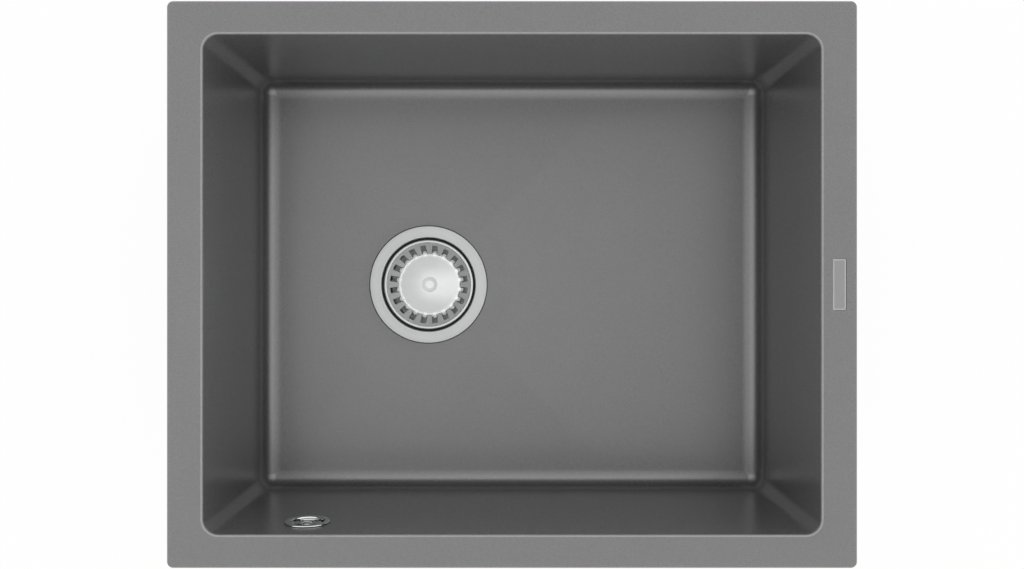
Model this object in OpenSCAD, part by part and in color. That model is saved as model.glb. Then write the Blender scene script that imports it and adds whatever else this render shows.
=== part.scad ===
// Single-bowl composite granite kitchen sink for setting into a worktop.
// Millimetres. The origin is the centre of the worktop cut-out, on the plane where the rim
// lies on the worktop. +X runs to the right, +Y to the back and +Z up out of the bowl.

/* [Rim] */
// Length of the rim, left to right
rim_l = 560; // [548:2:600]
// Width of the rim, front to back
rim_w = 460; // [450:2:500]
// Thickness of the rim above the worktop
rim_t = 8; // [6:0.5:12]
// Corner radius of the rim seen from above
rim_corner_r = 5; // [4:0.5:12]
// Rounding of the rim's upper outside edge
rim_edge_r = 1.5; // [1:0.25:3.5]

/* [Bowl] */
// Width of the rim beside the mouth's two ends
rim_band_end = 29; // [27:0.5:36]
// Width of the rim in front of the mouth and behind it
rim_band_side = 27; // [25:0.5:36]
// Corner radius of the mouth
mouth_corner_r = 12.5; // [9:0.5:20]
// Rounding of the edge between rim and bowl
mouth_edge_r = 2.4; // [1:0.2:4]
// Depth of the bowl from the top of the rim to the foot of its walls
bowl_depth = 190; // [170:5:220]
// How far each end wall leans in from mouth to floor
end_lean = 6; // [2:0.5:9]
// How far the front and back walls lean in from mouth to floor
side_lean = 4; // [2:0.5:9]
// Radius of the fillet between walls and floor
floor_fillet_r = 18; // [12:1:24]
// How far the floor falls to the drain
floor_fall = 3; // [2:0.5:5]
// Thickness of the walls
wall_t = 7; // [6:0.5:9]
// Thickness of the floor at the drain
floor_t = 9; // [8:0.5:12]

/* [Drain seat] */
// Distance of the drain's centre left of the bowl's centre
drain_left = 83; // [60:1:120]
// Height of the ring under the floor that the waste seals against
drain_boss_h = 3.5; // [2:0.5:6]
// Width of that ring outside the hole
drain_boss_w = 20; // [15:1:26]
// Gap between the flange's edge and its recess in the floor
seat_clear = 0.6; // [0.3:0.1:1.5]
// Gap round the flange's throat where it passes through the floor
throat_clear = 1; // [0.5:0.25:2]
// Gap round the flange's cup where it passes through the floor
cup_clear = 2.3; // [1:0.1:3]

/* [Drain flange] */
// Outside radius of the steel flange
flange_r = 58; // [56:0.5:62]
// Width of the flange's flat ring outside its throat
flange_w = 11.5; // [9:0.5:14]
// Thickness of the flange's flat ring
flange_lip_t = 1.5; // [1:0.25:2.5]
// Thickness of the sheet of its throat and cup
flange_sheet_t = 1.2; // [0.8:0.1:1.6]
// Width of the ledge round the cup for the basket's seal
ledge_w = 5; // [4:0.25:6]
// Depth from the flange's top to the ledge
ledge_depth = 7; // [6:0.5:9]
// Depth from the flange's top to the cup's bottom
cup_depth = 36; // [33:1:44]
// Number of water openings in the cup's bottom
cup_holes = 6; // [4:1:6]
// Radius of each water opening
cup_hole_r = 9; // [6:0.5:10]
// Thickness of the seal under the flange
flange_seal_t = 1; // [0.5:0.25:2]
// How far that seal stays inside the flange's edge
flange_seal_inset = 0.5; // [0.2:0.1:1.5]
// Gap between that seal and the edge of the hole for the throat
flange_seal_gap = 0.8; // [0.2:0.1:2]

/* [Basket] */
// Thickness of the basket's sheet
basket_t = 0.8; // [0.6:0.1:1.1]
// Radius of the rolled edge of the basket's lip
lip_roll_r = 1.3; // [1:0.1:1.5]
// Gap between the lip and the flange's throat
lip_clear = 1.8; // [1.4:0.1:2.2]
// Thickness of the basket's rubber seal
basket_seal_t = 2.2; // [1.5:0.1:3]
// Gap between the seal and the throat
basket_seal_clear = 0.4; // [0.2:0.1:0.8]
// Gap between the top of the basket's cone and the cup, and between the seal and the cone
cone_clear = 0.4; // [0.3:0.05:0.8]
// How far the cone narrows from its top to the dish
cone_taper = 10.3; // [8.3:0.1:13]
// Depth from the flange's top to the dish's edge
dish_depth = 19; // [17:0.5:21]
// How far the dish falls to its flat middle
dish_fall = 1.5; // [0.5:0.25:2.5]
// Radius of the dish's flat middle
dish_flat_r = 8; // [7:0.5:10]
// Number of slots round the cone
basket_slots = 20; // [12:1:24]
// Width of each slot
slot_w = 6; // [4:0.25:6.5]
// Plain height of the cone above the slots
slot_drop = 2.8; // [2.4:0.2:6]
// Radius of the button in the middle
button_r = 7.6; // [5:0.1:7.8]
// Radius of the button's flat top
button_top_r = 4.4; // [3:0.1:4.8]
// Height of the button
button_h = 1; // [0.8:0.1:3]
// Radius of the stem under the basket
stem_r = 2.5; // [2:0.1:2.9]
// Wall of the plastic sleeve on the stem
sleeve_wall = 1.44; // [1:0.02:1.8]
// Gap between stem and sleeve
stem_clear = 0.06; // [0.02:0.01:0.1]
// Gap between sleeve and socket
socket_clear = 0.2; // [0.1:0.05:0.4]

/* [Clamp screw] */
// Radius of the screw's head
clamp_head_r = 8; // [7:0.25:10]
// Height of the screw's head
clamp_head_h = 7; // [6:0.5:8]
// Depth of the socket in the head
socket_depth = 6; // [4:0.5:6.5]
// Radius of the screw's shank
clamp_shank_r = 3; // [2.5:0.25:3.5]
// Length of the screw's shank
clamp_shank_l = 19; // [16:1:20]
// Distance across the corners of the nut, halved
clamp_nut_r = 6.2; // [5.5:0.1:7]
// Height of the nut
clamp_nut_h = 12; // [8:1:13]

/* [Waste body] */
// Thickness of the seal between sink and waste
waste_seal_t = 2; // [1:0.25:4]
// Width of that seal
waste_seal_w = 9.5; // [6:0.5:11]
// Thickness of the waste body's top flange
waste_flange_t = 3; // [2:0.5:5]
// Wall of the waste body
waste_wall = 3; // [2.5:0.25:4]
// Gap between the steel cup and the waste body
waste_clear = 2.8; // [2:0.1:4]
// Gap between the cup's bottom and the nut's hub
hub_gap = 3.8; // [2:0.2:6]
// Wall of the hub round the nut
hub_wall = 2.8; // [2:0.2:4]
// Thickness of the ribs that carry the hub
hub_rib_t = 3; // [2:0.25:4]
// Drop of the sloping bottom to the outlet
waste_slope = 10; // [6:1:16]
// Outside radius of the outlet's thread, a pipe thread of one and a half inches
outlet_r = 23.9; // [21:0.1:24.5]
// Wall of the outlet
outlet_wall = 3.4; // [2.5:0.1:4.5]
// Length of the outlet's thread
outlet_l = 22; // [18:1:30]

/* [Overflow] */
// Distance of the overflow from the left end of the mouth
overflow_from_end = 77; // [61:1:83]
// Depth of the overflow's centre below the top of the rim
overflow_drop = 42; // [38:1:52]
// Radius of the hole through the wall
overflow_hole_r = 16; // [15:0.25:17]
// Radius of the chrome cover
cover_r = 19; // [18.5:0.25:22]
// Thickness of the cover's sheet
cover_t = 1; // [0.8:0.05:1.2]
// Gap between the cover's cup and the hole
cover_clear = 0.8; // [0.5:0.1:1.2]
// How far the cover's cup reaches into the hole
cover_cup_l = 3; // [2.4:0.1:4]
// Radius of the cover's middle, round the screw
cover_hub_r = 5.4; // [4.8:0.1:6]
// Width of the four slots at the edge of the cup's bottom
cover_slot_w = 5; // [4:0.25:6]
// Thickness of the seal behind the cover
front_seal_t = 0.4; // [0.3:0.05:0.8]
// Thickness of the seal outside the wall
rear_seal_t = 2; // [1:0.25:3]
// Radius of the elbow's flange
elbow_flange_r = 24; // [22:0.5:26]
// Thickness of the elbow's flange
elbow_flange_t = 3; // [2:0.5:4]
// Wall of the elbow
elbow_wall = 2.5; // [2:0.25:3]
// Depth of the elbow's drum behind its flange's face
elbow_depth = 22; // [20:0.5:24]
// Gap between the elbow's flange and its outlet tube
elbow_outlet_gap = 0.5; // [0:0.25:3]
// Drop of the outlet's end below the overflow's centre
elbow_drop = 41; // [36:1:50]
// Radius of the overflow screw's head
cover_screw_head_r = 4.4; // [3.6:0.1:4.6]
// Length of the overflow screw
cover_screw_l = 17; // [14:1:18]

/* [Overflow hose] */
// Radius of the hose's bore
hose_bore_r = 8.8; // [8:0.1:9.2]
// Wall of the hose between its ribs
hose_wall = 1.1; // [0.8:0.1:1.5]
// Height of the hose's ribs
hose_rib_h = 1.1; // [0.6:0.1:1.5]
// Distance from rib to rib
hose_pitch = 4.2; // [4:0.2:8]
// Radius of the hose's bend
hose_bend_r = 70; // [60:2:74]
// Thickness of the collars at the hose's ends
hose_collar_t = 2; // [1.5:0.25:3]
// How much larger in radius than the hose the two threaded spigots are
spigot_over = 1; // [0.8:0.1:1.6]
// Wall of the two threaded spigots
spigot_wall = 3; // [2.5:0.25:3.5]
// Gap round the hose's collars and round the spigots in the nuts
hose_nut_clear = 0.1; // [0.05:0.05:0.2]
// Gap between the hose's ribs and the nut's lip
hose_lip_clear = 0.3; // [0.2:0.05:0.5]
// Wall of the hose nuts
hose_nut_wall = 2.6; // [2:0.1:3]
// Length of the nut over the spigot
hose_nut_grip = 8; // [6:0.5:10]
// Thickness of the nut's inward lip
hose_nut_lip_t = 2; // [1.5:0.25:3]
// Thickness of the seals in the nuts
hose_seal_t = 2; // [1.5:0.25:3]
// Number of grip ribs round a nut
nut_grips = 12; // [8:1:18]
// Distance from the waste's axis to the end of its overflow inlet
inlet_reach = 70; // [66:1:80]

/* [Fixing clips] */
// Distance of the front and back clips from the middle
clip_side_x = 110; // [100:1:130]
// Distance of the end clips from the middle
clip_end_y = 115; // [100:1:130]
// Width of a clip
clip_w = 9; // [8.5:0.25:9.5]
// Thickness of a clip
clip_t = 2; // [1.5:0.25:3]
// Length of a clip from its screw to its tip
clip_l = 40; // [34:1:48]
// Height of a clip's upturned tip over the strip
clip_tip_h = 8; // [6:0.5:12]
// Depth of a clip's upper face below the worktop's plane
clip_level = 48; // [42:1:50]
// Gap between a folded clip and the wall
clip_clear = 0.4; // [0.3:0.1:1]
// Width of the boss over each clip
boss_w = 16; // [13:0.5:20]
// Height of the boss under the rim
boss_h = 30; // [26:1:34]
// Wall of the boss outside the insert
boss_wall = 2; // [1.5:0.25:2.5]
// Outside radius of the brass inserts
insert_r = 3.2; // [3:0.1:3.6]
// Length of the brass inserts
insert_l = 12; // [9:0.5:13]
// Radius of the M5 screws
screw_r = 2.5; // [2:0.1:2.7]
// Length of the clip screws
clip_screw_l = 30; // [29:1:33]
// Radius of the clip screws' heads
clip_head_r = 4.25; // [3.8:0.05:5]
// Height of the clip screws' heads
clip_head_h = 3.5; // [2.5:0.25:5]
// Thickness of the washers under the clips
washer_t = 1; // [0.8:0.1:1.6]
// Gap between a screw and what turns or sits round it
screw_clear = 0.06; // [0.02:0.01:0.1]

/* [Name plate] */
// Length of the bare metal plate on the right rim
plate_l = 41; // [30:1:60]
// Width of the plate
plate_w = 10.3; // [8:0.1:12]
// Thickness of the plate
plate_t = 0.7; // [0.5:0.1:1]
// Depth of the plate's recess in the rim
plate_sink = 0.5; // [0.3:0.1:0.5]
// Gap round the plate in its recess
plate_clear = 0.15; // [0.1:0.05:0.4]

/* [Hidden] */
$fn = 96;
over = 1;             // overrun of a cut past the surface that it opens
fit_gap = 0.05;       // between parts that are glued, moulded or screwed together
wall_gap = 0.02;      // between the leaning wall and the seal in front of it
corner_steps = 6;     // flats in a quarter turn of a rounded outline
fillet_steps = 5;     // flats in a quarter turn of a rounded edge
tube_sides = 8;       // sides of the hose
sink_in = 0.5;        // depth of a union's overlap inside one solid

// Mouth of the bowl
mouth_l = rim_l - 2 * rim_band_end;
mouth_w = rim_w - 2 * rim_band_side;
plate_x = (mouth_l + rim_l) / 4;

// Heights, from the top of the rim down
mouth_z = rim_t;
foot_z = mouth_z - bowl_depth;
drain_z = foot_z - floor_fall;
base_z = drain_z - floor_t;
boss_z = base_z - drain_boss_h;
overflow_z = mouth_z - overflow_drop;

// Half length and half width of the bowl's inside at a height
function half_l(z) = mouth_l / 2 - end_lean * (mouth_z - z) / bowl_depth;
function half_w(z) = mouth_w / 2 - side_lean * (mouth_z - z) / bowl_depth;

// Drain
drain_x = -drain_left;
seat_depth = flange_lip_t + flange_seal_t;
throat_r = flange_r - flange_w;
cup_r = throat_r - ledge_w;
throat_out_r = throat_r + flange_sheet_t;
cup_out_r = cup_r + flange_sheet_t;
throat_hole_r = throat_out_r + throat_clear;
throat_hole_depth = ledge_depth + flange_sheet_t + throat_clear;
drain_hole_r = cup_out_r + cup_clear;
drain_boss_r = drain_hole_r + drain_boss_w;
flange_seal_r = flange_r - flange_seal_inset;
flange_seal_in_r = throat_hole_r + flange_seal_gap;
shank_hole_r = clamp_shank_r + 0.3;
ledge_z = drain_z - ledge_depth;
cup_z = drain_z - cup_depth;
cup_hole_ring_r = (clamp_head_r + cup_r) / 2;
cup_under_z = cup_z - flange_sheet_t;

// Basket
basket_seal_z = ledge_z + basket_seal_t;
basket_seal_r = throat_r - basket_seal_clear;
cone_top_r = cup_r - cone_clear;
basket_seal_in_r = cone_top_r + cone_clear;
dish_r = cone_top_r - cone_taper;
lip_r = throat_r - lip_clear - lip_roll_r;
dish_z = drain_z - dish_depth;
dish_flat_z = dish_z - dish_fall;
cone_h = basket_seal_z - dish_z;
socket_r = stem_r + stem_clear + sleeve_wall + socket_clear;
sleeve_r = socket_r - socket_clear;
clamp_top_z = cup_z + clamp_head_h;
socket_z = clamp_top_z - socket_depth;
stem_end_z = socket_z + 0.6;
sleeve_end_z = socket_z + 1;
sleeve_top_z = dish_flat_z - basket_t - 1.2;

// Waste body
waste_top_z = boss_z - waste_seal_t;
waste_r = cup_out_r + waste_clear;
waste_out_r = waste_r + waste_wall;
waste_seal_in_r = waste_r + 0.5;
waste_seal_r = waste_seal_in_r + waste_seal_w;
waste_flange_r = waste_seal_r + 1;
hub_z = cup_under_z - hub_gap;
hub_r = clamp_nut_r + fit_gap + hub_wall;
hub_under_z = hub_z - clamp_nut_h - hub_wall;
waste_slope_z = hub_under_z;
outlet_bore_r = outlet_r - outlet_wall;
outlet_z = waste_slope_z - waste_slope;
outlet_end_z = outlet_z - outlet_l;

// Hose's section and the threaded spigots at its ends
hose_valley_r = hose_bore_r + hose_wall;
hose_crest_r = hose_valley_r + hose_rib_h;
spigot_r = hose_crest_r + spigot_over;
spigot_bore_r = spigot_r - spigot_wall;
inlet_z = waste_slope_z + spigot_r + 1;

// Overflow, worked out in a frame whose +Z stands square off the leaning front wall
wall_angle = atan(side_lean / bowl_depth);
overflow_x = overflow_from_end - mouth_l / 2;
overflow_y = -half_w(overflow_z);
wall_back = -wall_t * cos(wall_angle);
elbow_face = wall_back - rear_seal_t;
elbow_back = elbow_face - elbow_depth;
drum_r = overflow_hole_r + elbow_wall + 2;
drum_bore_r = drum_r - elbow_wall;
cover_h = front_seal_t + cover_t;
cover_cup_r = overflow_hole_r - cover_clear;
cover_bore_r = cover_cup_r - cover_t;
cover_floor_z = cover_t - cover_cup_l;
insert_hole_r = insert_r + fit_gap;
stub_r = insert_hole_r + 1.8;
stub_face = elbow_face - 2;
elbow_outlet_out = elbow_flange_t + elbow_outlet_gap + spigot_r;
elbow_out_y = overflow_y - (elbow_outlet_out - elbow_face) / cos(wall_angle);
cover_screw_z = cover_floor_z + 0.4;
elbow_end_z = overflow_z - elbow_drop;
elbow_bend_z = overflow_z - 6;

// Hose: straight down from the elbow, round one bend and in to the waste body
hose_turn = atan2(elbow_out_y, overflow_x - drain_x);
hose_span = norm([overflow_x - drain_x, elbow_out_y]);
hose_top_z = elbow_end_z - hose_seal_t;
hose_end_s = inlet_reach + hose_seal_t;
hose_down_l = hose_top_z - inlet_z - hose_bend_r;
hose_bend_l = PI / 2 * hose_bend_r;
hose_level_l = hose_span - hose_bend_r - hose_end_s;
hose_l = hose_down_l + hose_bend_l + hose_level_l;
hose_collar_r = spigot_r - hose_nut_clear;
hose_plain_l = hose_collar_t + hose_nut_lip_t + 1;
hose_ribs = floor((hose_l - 2 * hose_plain_l) / hose_pitch);
hose_rib_start = (hose_l - hose_ribs * hose_pitch) / 2;
hose_bore_step = 11;
hose_nut_bore_r = spigot_r + hose_nut_clear;
hose_nut_r = hose_nut_bore_r + hose_nut_wall;
hose_nut_lip_r = hose_crest_r + hose_lip_clear;
hose_nut_end = hose_seal_t + hose_collar_t + hose_nut_lip_t;

// Clips: x, y, the angle that points outwards, and the side that the clip folds to
clip_x = half_l(-clip_level) + wall_t + clip_clear + clip_w / 2;
clip_y = half_w(-clip_level) + wall_t + clip_clear + clip_w / 2;
boss_out = insert_hole_r + boss_wall;
screw_hole_r = screw_r + screw_clear;
clip_under_z = -clip_level - clip_t;
clip_head_z = clip_under_z - washer_t;
CLIPS = [
    [-clip_side_x, -clip_y, 270, 1],
    [clip_side_x, -clip_y, 270, -1],
    [-clip_side_x, clip_y, 90, -1],
    [clip_side_x, clip_y, 90, 1],
    [-clip_x, -clip_end_y, 180, -1],
    [-clip_x, clip_end_y, 180, 1],
    [clip_x, -clip_end_y, 0, 1],
    [clip_x, clip_end_y, 0, -1]
];

GRANITE = [0.42, 0.42, 0.43];
STEEL = [0.76, 0.77, 0.77];
CHROME = [0.85, 0.86, 0.88];
BRASS = [0.78, 0.62, 0.32];
RUBBER = [0.09, 0.09, 0.09];
WHITE_PLASTIC = [0.88, 0.88, 0.86];
GREY_PLASTIC = [0.55, 0.56, 0.58];

// A rounded rectangle at height z, as points in turn from the +X side
function outline(hl, hw, r, z) = [
    for (quarter = [0 : 3])
        for (i = [0 : corner_steps])
            let (a = 90 * (quarter + i / corner_steps),
                 side = quarter == 0 || quarter == 3 ? 1 : -1,
                 back = quarter < 2 ? 1 : -1)
                [side * (hl - r) + r * cos(a), back * (hw - r) + r * sin(a), z]
];

// A closed skin through rings of equally many points, given from the bottom up
module loft(rings) {
    n = len(rings[0]);
    last = len(rings) - 1;
    sides = [
        for (k = [0 : last - 1])
            for (i = [0 : n - 1])
                let (a = k * n + i, b = k * n + (i + 1) % n)
                    each [[a, a + n, b + n], [a, b + n, b]]
    ];
    caps = [
        [for (i = [0 : n - 1]) i],
        [for (i = [n - 1 : -1 : 0]) last * n + i]
    ];
    polyhedron(points = [for (ring = rings) each ring], faces = concat(sides, caps));
}

// A ring of the bowl's inside at height z, drawn in by inset or widened by a negative one
function bowl_ring(z, inset) =
    outline(half_l(z) - inset, half_w(z) - inset, max(mouth_corner_r - inset, 1), z);

// The same ring for the outside of the walls
function shell_ring(z, inset) =
    outline(half_l(z) + wall_t - inset, half_w(z) + wall_t - inset,
            max(mouth_corner_r + wall_t - inset, 1), z);

module bowl_space() {
    rings = concat(
        [for (i = [0 : fillet_steps])
            let (a = 90 * i / fillet_steps)
                bowl_ring(foot_z + floor_fillet_r * (1 - cos(a)), floor_fillet_r * (1 - sin(a)))],
        [for (i = [0 : fillet_steps])
            let (a = 90 * i / fillet_steps)
                bowl_ring(mouth_z - mouth_edge_r * (1 - sin(a)), -mouth_edge_r * (1 - cos(a)))],
        [bowl_ring(mouth_z + over, -mouth_edge_r)]
    );
    loft(rings);
    floor_inset = floor_fillet_r + 0.5;
    seat_land = 2;
    hull() {
        translate([0, 0, foot_z])
            linear_extrude(sink_in)
                square([2 * (half_l(foot_z) - floor_inset), 2 * (half_w(foot_z) - floor_inset)],
                       center = true);
        translate([drain_x, 0, drain_z])
            cylinder(r = flange_r + seat_clear + seat_land, h = sink_in, $fn = 48);
    }
}

module bowl_shell() {
    under_r = floor_fillet_r + wall_t;
    loft(concat(
        [for (i = [0 : fillet_steps])
            let (a = 90 * i / fillet_steps)
                shell_ring(base_z + under_r * (1 - cos(a)), under_r * (1 - sin(a)))],
        [shell_ring(rim_t / 2, 0)]
    ));
}

module rim() {
    loft(concat(
        [outline(rim_l / 2, rim_w / 2, rim_corner_r, 0)],
        [for (i = [0 : fillet_steps])
            let (a = 90 * i / fillet_steps, inset = rim_edge_r * (1 - cos(a)))
                outline(rim_l / 2 - inset, rim_w / 2 - inset, rim_corner_r - inset,
                        rim_t - rim_edge_r * (1 - sin(a)))]
    ));
}

// Places its children at a clip's screw, with +X pointing out from the bowl
module at_clip(i) {
    translate([CLIPS[i][0], CLIPS[i][1], 0])
        rotate(CLIPS[i][2])
            children();
}

module clip_boss() {
    back = -clip_clear - clip_w / 2 - wall_t / 2;
    chamfer = 3;
    translate([0, 0, -boss_h])
        linear_extrude(boss_h + rim_t / 2)
            polygon([
                [back, -boss_w / 2], [boss_out - chamfer, -boss_w / 2],
                [boss_out, chamfer - boss_w / 2], [boss_out, boss_w / 2 - chamfer],
                [boss_out - chamfer, boss_w / 2], [back, boss_w / 2]
            ]);
}

// Places its children on the front wall at the overflow, +Z into the bowl
module at_overflow() {
    translate([overflow_x, overflow_y, overflow_z])
        rotate([wall_angle - 90, 0, 0])
            children();
}

module sink_bowl() {
    color(GRANITE)
        difference() {
            union() {
                rim();
                bowl_shell();
                translate([drain_x, 0, boss_z])
                    cylinder(r = drain_boss_r, h = drain_boss_h + over);
                for (i = [0 : len(CLIPS) - 1])
                    at_clip(i) clip_boss();
            }
            bowl_space();
            translate([drain_x, 0, 0]) {
                translate([0, 0, drain_z - seat_depth])
                    cylinder(r = flange_r + seat_clear, h = seat_depth + over);
                translate([0, 0, drain_z - throat_hole_depth])
                    cylinder(r = throat_hole_r, h = throat_hole_depth);
                translate([0, 0, boss_z - over])
                    cylinder(r = drain_hole_r, h = drain_z - boss_z);
            }
            at_overflow()
                translate([0, 0, wall_back - over])
                    cylinder(r = overflow_hole_r, h = 2 * over - wall_back);
            for (i = [0 : len(CLIPS) - 1])
                at_clip(i)
                    translate([0, 0, -boss_h - over])
                        cylinder(r = insert_hole_r, h = insert_l + 2 + over);
            translate([plate_x, 0, rim_t - plate_sink])
                linear_extrude(plate_sink + over)
                    square([plate_w + 2 * plate_clear, plate_l + 2 * plate_clear], center = true);
        }
}

module name_plate() {
    bevel = 0.3;
    color(STEEL)
        translate([plate_x, 0, rim_t - plate_sink])
            hull() {
                linear_extrude(plate_t - bevel)
                    square([plate_w, plate_l], center = true);
                linear_extrude(plate_t)
                    square([plate_w - 2 * bevel, plate_l - 2 * bevel], center = true);
            }
}

// Revolves its children round the drain's axis
module round_drain() {
    translate([drain_x, 0, 0])
        rotate_extrude()
            children();
}

module drain_flange() {
    step_r = 1.6;
    color(STEEL)
        difference() {
            round_drain()
                polygon([
                    [flange_r, drain_z - flange_lip_t], [flange_r, drain_z - 0.4],
                    [flange_r - 0.4, drain_z], [throat_r + step_r, drain_z],
                    [throat_r + 0.5, drain_z - 0.5], [throat_r, drain_z - step_r],
                    [throat_r, ledge_z], [cup_r, ledge_z], [cup_r, cup_z], [0, cup_z],
                    [0, cup_under_z], [cup_out_r, cup_under_z],
                    [cup_out_r, ledge_z - flange_sheet_t],
                    [throat_out_r, ledge_z - flange_sheet_t], [throat_out_r, drain_z - flange_lip_t]
                ]);
            translate([drain_x, 0, cup_under_z - over]) {
                cylinder(r = shank_hole_r, h = flange_sheet_t + 2 * over);
                for (i = [0 : cup_holes - 1])
                    rotate(360 * i / cup_holes)
                        translate([cup_hole_ring_r, 0, 0])
                            cylinder(r = cup_hole_r, h = flange_sheet_t + 2 * over);
            }
        }
}

module flange_seal() {
    color(RUBBER)
        translate([drain_x, 0, drain_z - seat_depth])
            difference() {
                cylinder(r = flange_seal_r, h = flange_seal_t);
                translate([0, 0, -over])
                    cylinder(r = flange_seal_in_r, h = flange_seal_t + 2 * over);
            }
}

module basket() {
    wall = basket_t * sqrt(1 + pow((cone_top_r - dish_r) / cone_h, 2));
    lip_z = basket_seal_z + lip_roll_r;
    slot_top_z = basket_seal_z - slot_drop;
    color(STEEL)
        difference() {
            round_drain() {
                translate([lip_r, lip_z])
                    circle(r = lip_roll_r, $fn = 32);
                polygon([
                    [lip_r, basket_seal_z], [lip_r, basket_seal_z + basket_t],
                    [cone_top_r - wall / 2, basket_seal_z + basket_t],
                    [cone_top_r - wall, basket_seal_z],
                    [dish_r, dish_z], [dish_flat_r, dish_flat_z], [0, dish_flat_z],
                    [0, dish_flat_z - basket_t], [dish_flat_r, dish_flat_z - basket_t],
                    [dish_r + wall / 2, dish_z - basket_t], [dish_r + wall, dish_z],
                    [cone_top_r, basket_seal_z]
                ]);
            }
            for (i = [0 : basket_slots - 1])
                translate([drain_x, 0, dish_z - 0.3])
                    rotate(360 * (i + 0.5) / basket_slots)
                        translate([dish_r - 1.5, -slot_w / 2, 0])
                            cube([cone_top_r - dish_r + 2, slot_w, slot_top_z - dish_z]);
        }
}

module basket_seal() {
    color(RUBBER)
        translate([drain_x, 0, ledge_z])
            difference() {
                cylinder(r = basket_seal_r, h = basket_seal_t);
                translate([0, 0, -over])
                    cylinder(r = basket_seal_in_r, h = basket_seal_t + 2 * over);
            }
}

module basket_button() {
    color(STEEL)
        round_drain()
            polygon([
                [0, dish_flat_z], [button_r, dish_flat_z], [button_r, dish_flat_z + button_h * 0.15],
                [button_top_r + 0.5, dish_flat_z + button_h * 0.88],
                [button_top_r, dish_flat_z + button_h], [0, dish_flat_z + button_h]
            ]);
}

module basket_stem() {
    color(STEEL)
        translate([drain_x, 0, stem_end_z])
            cylinder(r = stem_r, h = dish_flat_z - basket_t - stem_end_z);
}

module stem_sleeve() {
    color(GREY_PLASTIC)
        translate([drain_x, 0, sleeve_end_z])
            difference() {
                cylinder(r = sleeve_r, h = sleeve_top_z - sleeve_end_z);
                translate([0, 0, -over])
                    cylinder(r = stem_r + stem_clear, h = sleeve_top_z - sleeve_end_z + 2 * over);
            }
}

module clamp_screw() {
    color(STEEL)
        round_drain()
            polygon([
                [0, cup_z - clamp_shank_l], [clamp_shank_r, cup_z - clamp_shank_l],
                [clamp_shank_r, cup_z], [clamp_head_r, cup_z], [clamp_head_r, clamp_top_z - 1],
                [clamp_head_r - 1, clamp_top_z], [socket_r, clamp_top_z], [socket_r, socket_z],
                [0, socket_z]
            ]);
}

module clamp_nut() {
    color(BRASS)
        translate([drain_x, 0, hub_z - clamp_nut_h])
            difference() {
                cylinder(r = clamp_nut_r, h = clamp_nut_h, $fn = 6);
                translate([0, 0, -over])
                    cylinder(r = clamp_shank_r + fit_gap, h = clamp_nut_h + 2 * over);
            }
}

module waste_seal() {
    color(RUBBER)
        translate([drain_x, 0, waste_top_z])
            difference() {
                cylinder(r = waste_seal_r, h = waste_seal_t);
                translate([0, 0, -over])
                    cylinder(r = waste_seal_in_r, h = waste_seal_t + 2 * over);
            }
}

// Places its children on the waste body's overflow inlet, +Z out towards the hose
module at_inlet() {
    translate([drain_x, 0, inlet_z])
        rotate([0, 90, hose_turn])
            children();
}

module waste_body() {
    rib_h = hub_z - hub_under_z - 2;
    color(WHITE_PLASTIC) {
        difference() {
            union() {
                round_drain()
                    polygon([
                        [0, waste_top_z], [waste_flange_r, waste_top_z],
                        [waste_flange_r, waste_top_z - waste_flange_t],
                        [waste_out_r, waste_top_z - waste_flange_t - 2],
                        [waste_out_r, waste_slope_z - 1.5], [outlet_r, outlet_z - 1.5],
                        [outlet_r, outlet_end_z], [0, outlet_end_z]
                    ]);
                at_inlet() cylinder(r = spigot_r, h = inlet_reach);
            }
            difference() {
                union() {
                    round_drain()
                        polygon([
                            [0, waste_top_z + over], [waste_r, waste_top_z + over],
                            [waste_r, waste_slope_z], [outlet_bore_r, outlet_z],
                            [outlet_bore_r, outlet_end_z - over], [0, outlet_end_z - over]
                        ]);
                    at_inlet() cylinder(r = spigot_bore_r, h = inlet_reach + over);
                }
                translate([drain_x, 0, hub_under_z])
                    cylinder(r = hub_r, h = hub_z - hub_under_z);
                for (i = [0 : 3])
                    translate([drain_x, 0, hub_under_z])
                        rotate(45 + 90 * i)
                            translate([0, -hub_rib_t / 2, 0])
                                cube([waste_r + over, hub_rib_t, rib_h]);
            }
            translate([drain_x, 0, hub_z - clamp_nut_h])
                cylinder(r = clamp_nut_r + fit_gap, h = clamp_nut_h + over, $fn = 6);
            translate([drain_x, 0, hub_under_z - over])
                cylinder(r = shank_hole_r, h = hub_wall + 2 * over);
        }
    }
}

// A sheet pressed into a cup that sits in the hole, with its flange flat on the seal
module overflow_cover() {
    slot_in_r = cover_hub_r + 2;
    slot_h = cover_cup_l - 0.2;
    head_sunk = 0.8;
    color(CHROME)
        at_overflow()
            difference() {
                rotate_extrude()
                    polygon([
                        [0, -cover_cup_l], [cover_cup_r, -cover_cup_l], [cover_cup_r, front_seal_t],
                        [cover_r, front_seal_t], [cover_r, cover_h - 0.4], [cover_r - 1.2, cover_h],
                        [cover_bore_r + 0.5, cover_h], [cover_bore_r, cover_h - 0.5],
                        [cover_bore_r, cover_floor_z], [cover_hub_r, cover_floor_z],
                        [cover_hub_r - 0.3, cover_screw_z + head_sunk],
                        [0, cover_screw_z + head_sunk]
                    ]);
                for (i = [0 : 3])
                    rotate(90 * i + 45)
                        translate([slot_in_r, -cover_slot_w / 2, -cover_cup_l - over])
                            cube([cover_cup_r + over - slot_in_r, cover_slot_w, slot_h + over]);
                translate([0, 0, cover_screw_z])
                    cylinder(r = cover_screw_head_r + 0.1, h = head_sunk + over);
                translate([0, 0, -cover_cup_l - over])
                    cylinder(r = screw_r + 0.2, h = cover_cup_l + over);
            }
}

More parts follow.
